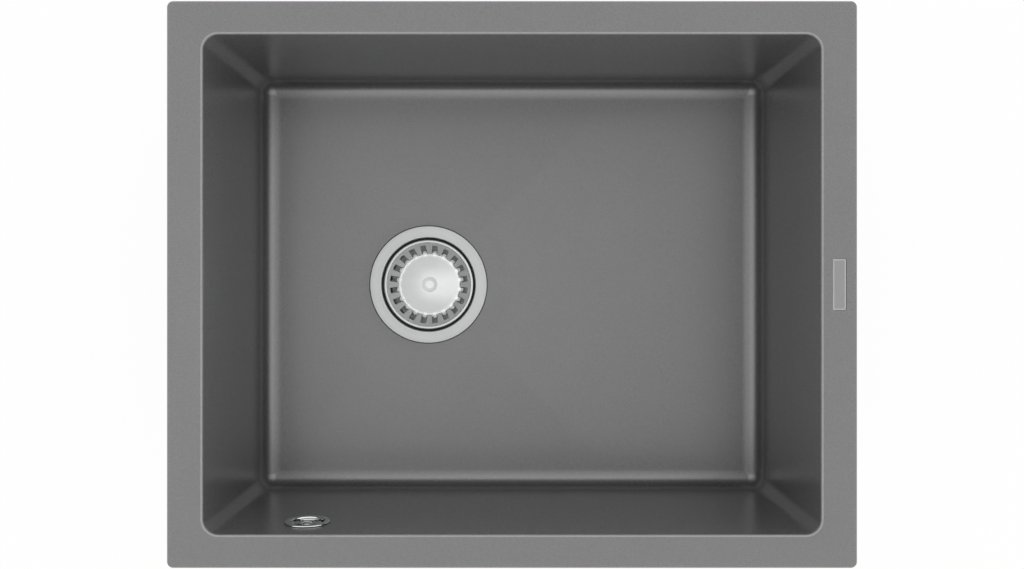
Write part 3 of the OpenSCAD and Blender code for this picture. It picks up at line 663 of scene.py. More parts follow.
def lathe(
    profile: Array,
    columns: int = 96,
    closed: bool = True,
    shape: Optional[Array] = None,
    centre: Sequence[float] = (0.0, 0.0),
    angles: Optional[Array] = None,
    kept: Optional[Array] = None,
) -> Skin:
    """Turns a profile round the Z axis: point (r cos a, r sin a, z).

    Args:
        profile: radius and height of each row.
        columns: steps in the turn.
        closed: whether the last row meets the first.
        shape: what is added to the radius, rows x columns.
        centre: where the axis stands.
        angles: angle of each point, rows x columns or columns, in place of equal steps.
        kept: mask of the cells that get a face.

    Returns:
        The skin.
    """
    turn = around(columns) if angles is None else angles
    turn = np.broadcast_to(turn, (len(profile), columns))
    r = profile[:, :1] + (0.0 if shape is None else shape)
    r = np.broadcast_to(r, turn.shape)
    z = np.broadcast_to(profile[:, 1:2], turn.shape)
    points = np.stack([centre[0] + r * np.cos(turn), centre[1] + r * np.sin(turn), z], axis=-1)
    return Skin.grid(points, close_rows=closed, kept=kept)


def spun(
    corners: Sequence[Sequence[float]],
    reach: Union[float, Sequence[float]],
    steps: int,
    columns: int,
    closed: bool = True,
    centre: Sequence[float] = (0.0, 0.0),
) -> Skin:
    """A profile with rounded corners, turned round the Z axis.

    Args:
        corners: radius and height of each corner.
        reach: how far each corner's rounding reaches.
        steps: points on each rounding.
        columns: steps in the turn.
        closed: whether the profile closes on itself.
        centre: where the axis stands.

    Returns:
        The skin.
    """
    return lathe(soften(corners, reach, steps, closed), columns, closed, centre=centre)


def run_along(line: Array) -> Array:
    """Length along a line at each of its points."""
    return np.concatenate([[0.0], np.cumsum(np.linalg.norm(np.diff(line, axis=0), axis=1))])


def read_off(line: Array, run: Array, at: Array) -> Array:
    """Points of a line at lengths along it."""
    return np.column_stack([np.interp(at, run, line[:, 0]), np.interp(at, run, line[:, 1])])


def respaced(line: Array, count: int) -> Array:
    """A profile with its own points and more of them in equal steps along it."""
    run = run_along(line)
    at = np.unique(np.round(np.concatenate([run, np.linspace(0.0, run[-1], count)]), 4))
    return read_off(line, run, at)


@dataclass(frozen=True)
class Slots:
    """A ring of slots left open in a turned sheet.

    half is half a slot's width, corner the radius of its corners, cells the columns over a slot
    and over the web beside it, and ledge how far the sheet stands out in front of a slot.
    """

    count: int
    half: float
    corner: float
    cells: tuple[int, int]
    ledge: float = 0.0

    def skin(
        self, profile: Array, is_open: Array, on_ledge: Array, centre: Sequence[float]
    ) -> Skin:
        """Turns the profile round the Z axis, with its slots left open.

        Columns come in groups, some over a slot and some over the web beside it. A slot's edge
        stands at the angle whose sine is half the slot's width over the radius, and the width
        draws in at both ends, so that the slot's corners are round. On the ledge the columns
        over a slot's middle stand out by the ledge's reach.

        Args:
            profile: radius and height of each row.
            is_open: rows that the slots go through.
            on_ledge: how much of the ledge's reach each row takes, from 0 to 1.
            centre: where the axis stands.

        Returns:
            The skin.
        """
        r = profile[:, 0]
        run = run_along(profile)
        near = np.clip(np.minimum(run - run[is_open][0], run[is_open][-1] - run), 0.0, self.corner)
        drawn = self.corner - np.sqrt(np.maximum(self.corner**2 - (self.corner - near) ** 2, 0.0))
        pitch = TURN / self.count
        reach = np.arcsin(np.clip((self.half - drawn) / np.maximum(r, 4.0), 0.0, 0.9))
        edge = np.minimum(reach, pitch * 0.36)[:, None]
        over, beside = self.cells
        across = np.linspace(-1.0, 1.0, over + 1)
        web = edge + (pitch - 2 * edge) * np.linspace(0.0, 1.0, beside + 1)[None, 1:-1]
        group = np.concatenate([edge * across[None, :], web], axis=1)
        start = (np.arange(self.count) + 0.5) * pitch
        angles = (start[None, :, None] + group[:, None, :]).reshape(len(r), -1)
        swell = np.concatenate([(np.abs(across) < 0.8).astype(float), np.zeros(beside - 1)])
        shape = self.ledge * on_ledge[:, None] * np.tile(swell, self.count)[None, :]
        over_slot = np.tile(np.arange(over + beside) < over, self.count)
        through = is_open & np.roll(is_open, -1)
        kept = ~(through[:, None] & over_slot[None, :])
        return lathe(profile, angles.shape[1], False, shape, centre, angles, kept)


def column(radius: float, start: float, end: float, rows: int) -> Array:
    """A straight stretch of a profile at one radius, in equal steps of height."""
    return np.stack([np.full(rows, radius), np.linspace(start, end, rows)], axis=-1)


def thread(
    profile: Array, columns: int, pitch: float, depth: float, low: float, high: float
) -> Array:
    """Cuts a screw thread into the rows of a profile between two heights.

    The cut is depth times the distance of (z / pitch - a / turn) from a whole number, doubled,
    and fades in over one pitch at both ends.

    Args:
        profile: the rows' radius and height.
        columns: steps in the turn.
        pitch: rise of one turn.
        depth: depth of the thread.
        low: lower end of the thread.
        high: upper end of the thread.

    Returns:
        What is added to the radius, rows x columns.
    """
    z = profile[:, 1:2]
    phase = z / pitch - around(columns)[None, :] / TURN
    ridge = 2.0 * np.abs(phase - np.round(phase))
    fade = np.clip(np.minimum(z - low, high - z) / pitch, 0.0, 1.0)
    return -depth * ridge * fade


def hexagon(columns: int) -> Array:
    """Radius of a hexagon over that of the circle inside it, for each column's angle."""
    sixth = TURN / 6.0
    return 1.0 / np.cos((around(columns) + sixth / 2) % sixth - sixth / 2)


def ring_of(outline: Array, z: float) -> Array:
    """A flat outline as a row of points at one height."""
    return np.column_stack([outline, np.full(len(outline), z)])


def stacked(layers: Sequence[tuple[Array, float]], pole: Sequence[float] = (0.0, 0.0)) -> Skin:
    """Flat outlines joined one above the other, the first and last one closed by a pole.

    Args:
        layers: each outline with its height, all with the same number of points.
        pole: where the poles stand.

    Returns:
        The skin.
    """
    rows = [ring_of(outline, z) for outline, z in layers]
    ends = [ring_of(np.broadcast_to(pole, layers[i][0].shape), layers[i][1]) for i in (0, -1)]
    return Skin.grid(np.stack([ends[0], *rows, ends[1]]))


def circle_towards(outline: Array, radius: float, middle: Sequence[float] = (0.0, 0.0)) -> Array:
    """Points on a circle, each in the direction of the matching point of an outline."""
    away = outline - np.asarray(middle)
    return np.asarray(middle) + radius * away / np.linalg.norm(away, axis=1)[:, None]


def shrunk(outline: Array, by: float) -> Array:
    """A closed outline drawn in square to the line between each point's neighbours."""
    along = np.roll(outline, -1, axis=0) - np.roll(outline, 1, axis=0)
    along /= np.maximum(np.linalg.norm(along, axis=1), 1e-9)[:, None]
    return outline + by * np.column_stack([-along[:, 1], along[:, 0]])


def evenly(outline: Array, count: int) -> Array:
    """A closed outline walked in equal steps of length."""
    loop = np.vstack([outline, outline[:1]])
    run = run_along(loop)
    return read_off(loop, run, np.arange(count) * run[-1] / count)


def boxed(half: Sequence[float], corner: float, steps: int, count: int) -> Array:
    """A rounded rectangle about the origin, walked in equal steps.

    Args:
        half: half its size along X and along Y.
        corner: how far the corners' rounding reaches.
        steps: points on each rounding.
        count: points on the whole outline.

    Returns:
        The outline.
    """
    x, y = half
    return evenly(soften([(x, y), (-x, y), (-x, -y), (x, -y)], corner, steps), count)


def turned(degrees: float, axis: str = "Z") -> Matrix:
    """A turn about an axis."""
    return Matrix.Rotation(math.radians(degrees), 4, axis)


def spread(skin: Skin, count: int, first: float = 0.0) -> list[Skin]:
    """Copies of a skin in equal steps round the drain's axis, the first at an angle in degrees."""
    at = Matrix.Translation(DRAIN_AXIS)
    return [skin.placed(at @ turned(first + 360.0 / count * i)) for i in range(count)]


def tidy(mesh: bpy.types.Mesh, sharp: float) -> None:
    """Merges doubles, turns the faces outwards, and smooths all but the sharp edges.

    Args:
        mesh: the mesh to finish, in metres.
        sharp: degrees above which an edge stays sharp.
    """
    work = bmesh.new()
    work.from_mesh(mesh)
    bmesh.ops.remove_doubles(work, verts=work.verts, dist=2e-6)
    bmesh.ops.dissolve_degenerate(work, edges=work.edges, dist=1e-7)
    bmesh.ops.recalc_face_normals(work, faces=work.faces)
    work.to_mesh(mesh)
    work.free()
    mesh.polygons.foreach_set("use_smooth", np.ones(len(mesh.polygons), bool))
    mesh.set_sharp_from_angle(angle=math.radians(sharp))
    mesh.update()


@dataclass
class Piece:
    """A visible piece: what it is called, how it is finished, what it stands for and rides on."""

    name: str
    finish: Finishes
    stands_for: Sequence[str] = ()
    body: str = SINK
    sharp: SharpAngle = SharpAngle.USUAL
    sheet: float = 0.0
    bevel: float = 0.0
    cuts: Sequence[bpy.types.Object] = field(default_factory=list)

    def _shaped(self, thing: bpy.types.Object, kind: str, *settings: dict[str, Any]) -> None:
        """Applies modifiers of one kind to the object's mesh and tidies it.

        Args:
            thing: the object.
            kind: the modifiers' type.
            settings: the properties of each modifier.
        """
        for values in settings:
            modifier = thing.modifiers.new(kind.lower(), kind)
            for name, value in values.items():
                setattr(modifier, name, value)
        graph = bpy.context.evaluated_depsgraph_get()
        mesh = bpy.data.meshes.new_from_object(thing.evaluated_get(graph))
        thing.modifiers.clear()
        old, thing.data = thing.data, mesh
        mesh.name = self.name
        bpy.data.meshes.remove(old)
        tidy(mesh, self.sharp.value)

    def make(self, skins: Iterable[Skin]) -> bpy.types.Object:
        """Builds the mesh, finishes it and ties it to its body.

        Args:
            skins: the surfaces that the piece is made of.

        Returns:
            The object.
        """
        thing = raw_object(self.name, skins)
        tidy(thing.data, self.sharp.value)
        if self.sheet:
            wall = {"thickness": self.sheet * MM, "offset": 0.0, "use_even_offset": True}
            self._shaped(thing, "SOLIDIFY", wall)
        if self.cuts:
            cut = {"operation": "DIFFERENCE", "solver": "EXACT"}
            self._shaped(thing, "BOOLEAN", *({**cut, "object": cutter} for cutter in self.cuts))
            for cutter in self.cuts:
                bpy.data.objects.remove(cutter)
        if self.bevel:
            angle = {"limit_method": "ANGLE", "angle_limit": math.radians(self.sharp.value)}
            edge = {"width": self.bevel * MM, "segments": 2, "use_clamp_overlap": True}
            self._shaped(thing, "BEVEL", {**edge, **angle})
        thing.data.materials.clear()
        thing.data.materials.append(self.finish.value.material())
        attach(thing, self.body)
        if self.stands_for:
            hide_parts(*self.stands_for)
        log.info("%s: %d faces on %s", self.name, len(thing.data.polygons), self.body)
        return thing


def raw_object(name: str, skins: Iterable[Skin]) -> bpy.types.Object:
    """Puts skins into one linked object, in metres.

    Args:
        name: the object's name.
        skins: the surfaces.

    Returns:
        The object.
    """
    points, quads, start = [], [], 0
    for skin in skins:
        points.append(skin.points)
        quads.append(skin.quads + start)
        start += len(skin.points)
    corners = np.concatenate(quads)
    mesh = bpy.data.meshes.new(name)
    mesh.vertices.add(start)
    mesh.vertices.foreach_set("co", (np.concatenate(points) * MM).astype(np.float32).ravel())
    mesh.loops.add(corners.size)
    mesh.loops.foreach_set("vertex_index", corners.astype(np.int32).ravel())
    mesh.polygons.add(len(corners))
    mesh.polygons.foreach_set("loop_start", np.arange(0, corners.size, 4, dtype=np.int32))
    mesh.update(calc_edges=True)
    thing = bpy.data.objects.new(name, mesh)
    bpy.context.scene.collection.objects.link(thing)
    return thing


def cutter_of(name: str, skin: Skin) -> bpy.types.Object:
    """An object whose shape is cut out of a piece, which removes it."""
    cutter = raw_object(name, [skin])
    tidy(cutter.data, SharpAngle.USUAL.value)
    return cutter


@dataclass(frozen=True)
class Basin:
    """The moulded granite: rim, bowl, drain seat, ring under the floor and the clips' bosses."""

    rim_half: tuple[float, float] = (280.0, 230.0)
    rim_top: float = 8.0
    rim_corner: float = 5.0
    rim_edge: float = 1.5
    mouth_half: tuple[float, float] = (251.0, 203.0)
    mouth_corner: float = 12.5
    mouth_edge: float = 2.4
    depth: float = 190.0
    lean: tuple[float, float] = (6.0, 4.0)
    fillet: float = 18.0
    wall: float = 7.0
    base: float = -194.0
    cove: float = 2.0
    lip: float = 0.7
    land: float = 61.0
    seat: tuple[tuple[float, float], ...] = (
        (58.6, -185.0), (58.6, -187.5), (48.7, -187.5), (48.7, -194.2), (45.0, -194.2),
        (45.0, -197.5), (65.0, -197.5), (65.0, -194.0),
    )
    corner_points: int = 16
    side_points: int = 36

    @property
    def foot(self) -> float:
        """Height of the walls' foot."""
        return self.rim_top - self.depth

    def half(self, z: Array) -> Array:
        """Half length and half width of the bowl's inside at heights, leaning in evenly."""
        drop = (self.rim_top - np.asarray(z, float)) / self.depth
        return np.asarray(self.mouth_half) - drop[:, None] * np.asarray(self.lean)

    def outline(self, half: Array, radius: Array, z: Array) -> Array:
        """Rounded rectangles as rows of points.

        Each quarter of a row is a quarter circle about (half - r) in equal angles, and then the
        straight side to the next quarter in steps that are finer towards the corners.

        Args:
            half: half length and half width of each row.
            radius: corner radius of each row.
            z: height of each row.

        Returns:
            rows x points x 3.
        """
        quarter = np.arange(4)[:, None] * (math.pi / 2)
        turn = quarter + np.linspace(0.0, math.pi / 2, self.corner_points)[None, :]
        sign = np.array([[1, 1], [-1, 1], [-1, -1], [1, -1]])
        r = np.asarray(radius, float)[:, None, None, None]
        centre = (np.asarray(half, float)[:, None, :] - r[:, 0]) * sign
        arcs = centre[:, :, None, :] + r * np.stack([np.cos(turn), np.sin(turn)], -1)
        start, end = arcs[:, :, -1:], np.roll(arcs, -1, axis=1)[:, :, :1]
        t = np.linspace(0.0, 1.0, self.side_points + 2)[1:-1]
        t = (0.5 - 0.5 * np.cos(math.pi * t)) * 0.6 + t * 0.4
        sides = start + (end - start) * t[None, None, :, None]
        flat = np.concatenate([arcs, sides], axis=2).reshape(len(r), -1, 2)
        height = np.broadcast_to(np.asarray(z, float)[:, None, None], (*flat.shape[:2], 1))
        return np.concatenate([flat, height], axis=2)

    def walls(self, z: Array, inset: Array, out: float = 0.0) -> Array:
        """Rows that follow the bowl's walls, drawn in by the inset from the inside or outside."""
        inset = np.broadcast_to(np.asarray(inset, float), np.shape(z))
        half = self.half(z) + out - inset[:, None]
        return self.outline(half, np.maximum(self.mouth_corner + out - inset, 1.0), z)

    def slab(self, inset: Array, z: Array) -> Array:
        """Rows that follow the rim's outside, drawn in by the inset."""
        inset = np.broadcast_to(np.asarray(inset, float), np.shape(z))
        half = np.asarray(self.rim_half) - inset[:, None]
        return self.outline(half, np.maximum(self.rim_corner - inset, 0.6), z)

    def skin(self) -> Skin:
        """The whole shell as one closed band of rows: underside, rim, bowl and drain seat.

        Returns:
            The skin.
        """
        under = self.fillet + self.wall
        cove, lip = self.cove, self.lip
        edge, top = self.mouth_edge, self.rim_top
        a = np.linspace(0.0, math.pi / 2, 12)
        low, high = 1 - np.sin(a), 1 - np.cos(a)
        bottom = self.walls(self.base + under * high, under * low, self.wall)
        outside = self.walls(np.linspace(self.base + under + 8, -cove, 8), 0.0, self.wall)
        hollow = self.walls(cove * np.sin(a[1:]) - cove, -cove * high[1:], self.wall)
        rim_under = self.slab(lip * low, lip * high)
        rim_over = self.slab(self.rim_edge * high, top - self.rim_edge * low)
        mouth = self.walls(top - edge * low[::-1], -edge * high[::-1])
        flat = rim_over[-1:] + (mouth[:1] - rim_over[-1:]) * np.array([0.3, 0.7])[:, None, None]
        wall = self.walls(np.linspace(top - edge, self.foot + self.fillet, 16)[1:-1], 0.0)
        foot = self.walls(self.foot + self.fillet * high[::-1], self.fillet * low[::-1])
        inner = foot[-1, :, :2]
        seat = soften(self.seat, [0.5, 0.4, 0.4, 0.4, 0.4, 0.4, 1.0, 1.0], 4)
        land = circle_towards(inner, self.land, DRAIN)
        t = np.linspace(0.0, 1.0, 14)[1:, None, None]
        floor = foot[-1:] + (ring_of(land, DRAIN_FLOOR)[None] - foot[-1:]) * t
        towards = circle_towards(inner, 1.0, DRAIN) - np.asarray(DRAIN)
        rounds = np.asarray(DRAIN) + seat[:, 0][:, None, None] * towards
        heights = np.broadcast_to(seat[:, 1][:, None, None], (len(seat), len(inner), 1))
        drain = np.concatenate([rounds, heights], axis=2)
        base = drain[-1:] + (bottom[:1] - drain[-1:]) * np.array([0.3, 0.6])[:, None, None]
        rows = [bottom, outside, hollow, rim_under, rim_over, flat, mouth, wall, foot, floor]
        return Skin.grid(np.concatenate([*rows, drain, base]), close_rows=True)

    def cutters(self) -> list[bpy.types.Object]:
        """Solids that open the overflow's hole and the badge's recess.

        Returns:
            The cutters.
        """
        hole = lathe(np.array([[0.0, -12.0], [16.0, -12.0], [16.0, 6.0], [0.0, 6.0]]), 96, False)
        return [
            cutter_of("hole_cutter", hole.placed(Overflow.on_wall())),
            cutter_of("badge_cutter", Badge.recess()),
        ]

    def boss(self) -> Skin:
        """One boss in its clip's frame: a chamfered block with the insert's bore from below.

        Returns:
            The skin.
        """
        corners = [(-8.4, -8.0), (2.25, -8.0), (5.25, -5.0), (5.25, 5.0), (2.25, 8.0), (-8.4, 8.0)]
        outline = evenly(soften(corners, 1.4, 4), 72)
        bore = circle_towards(outline, 3.25)
        end = -30.0
        return stacked([
            (outline, 5.0), (outline, -10.0), (outline, end + 0.8),
            (shrunk(outline, 0.25), end + 0.2), (shrunk(outline, 0.8), end),
            (bore, end), (bore, -16.0),
        ])

    def build(self) -> None:
        """Builds the shell and the bosses."""
        shell = Piece("granite_basin", Finishes.GRANITE, ["sink_bowl"], cuts=self.cutters())
        shell.make([self.skin()])
        bosses = Piece("clip_bosses", Finishes.GRANITE)
        bosses.make([self.boss().placed(clip.frame()) for clip in ClipPlace.all()])


@dataclass(frozen=True)
class ClipPlace:
    """Where a fixing clip's screw stands, which way is outwards, and the side it folds to."""

    name: str
    x: float
    y: float
    outwards: float
    fold: int

    def frame(self) -> Matrix:
        """The screw's own frame, +X pointing out from the bowl."""
        return Matrix.Translation((self.x, self.y, 0.0)) @ turned(self.outwards)

    def folded(self) -> Matrix:
        """The frame of the clip folded along the wall."""
        return self.frame() @ turned(90.0 * self.fold)

    @staticmethod
    def all() -> list["ClipPlace"]:
        """The eight clips, two on each side.

        Returns:
            The places, front, back, left and right.
        """
        side, end, x, y = 110.0, 115.0, 261.1316, 213.7211
        return [
            ClipPlace("clip_front_left", -side, -y, 270.0, 1),
            ClipPlace("clip_front_right", side, -y, 270.0, -1),
            ClipPlace("clip_back_left", -side, y, 90.0, -1),
            ClipPlace("clip_back_right", side, y, 90.0, 1),
            ClipPlace("clip_left_front", -x, -end, 180.0, -1),
            ClipPlace("clip_left_back", -x, end, 180.0, 1),
            ClipPlace("clip_right_front", x, -end, 0.0, 1),
            ClipPlace("clip_right_back", x, end, 0.0, -1),
        ]


@dataclass(frozen=True)
class Badge:
    """The bare metal plate on the right rim: a satin field inside a raised bright border."""

    half: tuple[float, float] = (5.15, 20.5)
    pocket: tuple[float, float] = (5.75, 21.1)
    bottom: float = 7.3
    top: float = 8.2
    border: float = 0.85
    bead: float = 0.3
    sunk: float = 0.22

    @classmethod
    def recess(cls) -> Skin:
        """The recess in the rim that holds the plate."""
        outline = boxed(cls.pocket, 0.6, 4, 80) + np.array([BADGE_X, 0.0])
        return stacked([(outline, cls.bottom), (outline, Basin.rim_top + 1.0)], (BADGE_X, 0.0))

    def build(self) -> None:
        """Builds the plate from rings drawn in step by step, over a bead along its border."""
        outline = boxed(self.half, 0.5, 5, 120)
        a = np.radians(np.linspace(-70.0, 70.0, 9))
        inset = self.border / 2 * (1.0 + np.sin(a) / np.sin(a[-1]))
        over = zip(inset, self.top - self.bead * (1.0 - np.cos(a)))
        steps = [(0.0, self.bottom), *over, (self.border + 0.05, self.top - self.sunk)]
        plate = stacked([(shrunk(outline, by), z) for by, z in steps])
        skin = plate.placed(Matrix.Translation((BADGE_X, 0.0, 0.0)))
        Piece("badge_plate", Finishes.PLATE, ["name_plate"], sharp=SharpAngle.CRISP).make([skin])


@dataclass(frozen=True)
class DrainFlange:
    """Pressed steel flange: flat ring, throat, ledge and a cup with six holes in its bottom."""

    radius: float = 58.0
    throat: float = 46.5
    cup: float = 41.5
    sheet: float = 1.2
    ledge: float = -192.0
    bottom: float = -221.0
    hole: float = 9.0
    hole_ring: float = 24.75
    plate_in: float = 13.5
    plate_out: float = 36.5
    side_steps: int = 24

    def _body(self) -> Skin:
        """The turned part, from the holes' outer edge up to the flange and back underneath.

        Returns:
            The skin.
        """
        t, s = DRAIN_FLOOR, self.sheet
        corners = [
            (self.plate_out, self.bottom), (self.cup, self.bottom), (self.cup, self.ledge),
            (self.throat, self.ledge), (self.throat, t), (self.radius, t),
            (self.radius, t - 1.5), (self.throat + s, t - 1.5), (self.throat + s, self.ledge - s),
            (self.cup + s, self.ledge - s), (self.cup + s, self.bottom - s),
            (self.plate_out, self.bottom - s),
        ]
        reach = [0.0, 3.0, 0.8, 0.8, 1.7, 0.55, 0.3, 0.5, 1.6, 0.8, 3.6, 0.0]
        return spun(corners, reach, 7, 6 * self.side_steps, False)

    def _plate(self) -> list[Skin]:
        """The cup's bottom: six sectors, each a grid from its hole to its four-sided edge.

        A sector's edge is the edge of the square from -1 to 1 with u as angle and v as radius,
        and each row lies a share of the way from the hole's circle to it.

        Returns:
            The six sectors, in their places.
        """
        k = self.side_steps
        e = np.linspace(-1.0, 1.0, k + 1)[:-1]
        one = np.ones(k)
        u = np.concatenate([e, one, -e, -one])
        v = np.concatenate([-one, e, one, -e])
        mid, reach = (self.plate_in + self.plate_out) / 2, (self.plate_out - self.plate_in) / 2
        rim_r, rim_a = mid + reach * v, u * TURN / 12
        edge = np.stack([rim_r * np.cos(rim_a), rim_r * np.sin(rim_a)], axis=-1)
        circle = circle_towards(edge, self.hole, (self.hole_ring, 0.0))
        low, high = self.bottom - self.sheet, self.bottom
        steps = (
            (1.0, high), (0.5, high), (0.08, high), (0.02, high - 0.06), (0.0, high - 0.25),
            (0.0, low + 0.1), (0.05, low), (0.5, low), (1.0, low),
        )
        rows = [ring_of(circle + (edge - circle) * share, z) for share, z in steps]
        return spread(Skin.grid(np.stack(rows)), 6)

    def _hub(self) -> Skin:
        """The disc between the holes, with the screw's hole."""
        b, s = self.bottom, self.sheet
        corners = [(self.plate_in, b), (3.3, b), (3.3, b - s), (self.plate_in, b - s)]
        return spun(corners, [0, 0.2, 0.2, 0], 3, 6 * self.side_steps, False)

    def build(self) -> None:
        """Builds the flange as one closed piece."""
        half_step = 30.0
        skins = [spread(self._body(), 1, half_step), spread(self._hub(), 1, half_step)]
        skins = [skin for group in (*skins, self._plate()) for skin in group]
        Piece("flange_pressing", Finishes.FLANGE, ["drain_flange"]).make(skins)


@dataclass(frozen=True)
class StrainerBasket:
    """The lift-out basket: rolled lip, slotted cone, dish, button, stem and seal."""

    sheet: float = 0.8
    slots: Slots = Slots(count=20, half=2.95, corner=0.7, cells=(8, 5), ledge=1.8)
    slot_low: float = -203.5
    slot_high: float = -192.3
    lip: tuple[float, float, float, float] = (42.95, -188.5, 1.25, 0.9)
    cone_top: tuple[float, float] = (41.4, -189.6)
    dish: tuple[float, float] = (31.1, -204.3)
    middle: float = -205.9

    def _profile(self) -> Array:
        """Middle line of the sheet: a dish as high as the radius squared says, cone and curl.

        Returns:
            Radius and height of each row.
        """
        cx, cz, wide, high = self.lip
        inner = (self.dish[0] - 4.0, self.dish[1] - 0.3)
        corners = [inner, self.dish, self.cone_top, (cx - 0.6, cz - high)]
        side = soften(corners, [0, 2.2, 0.7, 0], 9, closed=False)
        share = np.linspace(0.0, 1.0, 24)[:-1]
        rise = side[0, 1] - self.middle
        dish = np.column_stack([side[0, 0] * share, self.middle + rise * share**2])
        main = np.vstack([dish, side])
        a = np.radians(np.linspace(-90.0, 215.0, 22))
        curl = np.stack([cx + wide * np.cos(a), cz + high * np.sin(a)], axis=-1)
        return respaced(np.vstack([main, curl]), 120)

    def _sheet(self) -> Skin:
        """The sheet with its slots left open above a ledge that carries the dish on outwards.

        Returns:
            The skin.
        """
        profile = self._profile()
        r, z = profile[:, 0], profile[:, 1]
        is_open = (z > self.slot_low) & (z < self.slot_high) & (r < 42.0)
        on_ledge = np.clip((r - 28.6) / 1.6, 0.0, 1.0) * (z <= self.slot_low) * (r < 42.0)
        return self.slots.skin(profile, is_open, on_ledge, DRAIN)

    def build(self) -> None:
        """Builds the basket, its button, stem, seal, and the sleeve that the stem turns in."""
        Piece("slotted_basket", Finishes.BASKET, ["basket"], BASKET, sheet=self.sheet).make(
            [self._sheet()]
        )
        z = -205.5
        knob = [(0, z), (7.55, z), (7.45, z + 0.4), (4.9, z + 0.85), (4.3, z + 1.0), (0, z + 1.0)]
        stem = [(0, -219.4), (2.5, -219.4), (2.5, -206.3), (0, -206.3)]
        lower, upper = -192.0, -189.8
        ring = [(41.5, lower), (46.1, lower), (46.1, upper), (41.5, upper)]
        sleeve = [(2.56, -219.0), (4.0, -219.0), (4.0, -207.5), (2.56, -207.5)]
        steel = Finishes.BASKET
        for piece, corners, reach, steps, columns, closed in (
            (Piece("lift_button", steel, ["basket_button"], BASKET),
             knob, [0, 0.05, 0.25, 0.4, 0.5, 0], 8, 72, False),
            (Piece("turning_stem", steel, ["basket_stem"], BASKET),
             stem, [0, 0.6, 0.1, 0], 5, 48, False),
            (Piece("basket_gasket", Finishes.RUBBER, ["basket_seal"], BASKET),
             ring, 0.7, 5, 128, True),
            (Piece("plug_sleeve", Finishes.GREY, ["stem_sleeve"], CARRIER),
             sleeve, [0.2, 0.7, 0.4, 0.2], 4, 48, True),
        ):
            piece.make([spun(corners, reach, steps, columns, closed, DRAIN)])


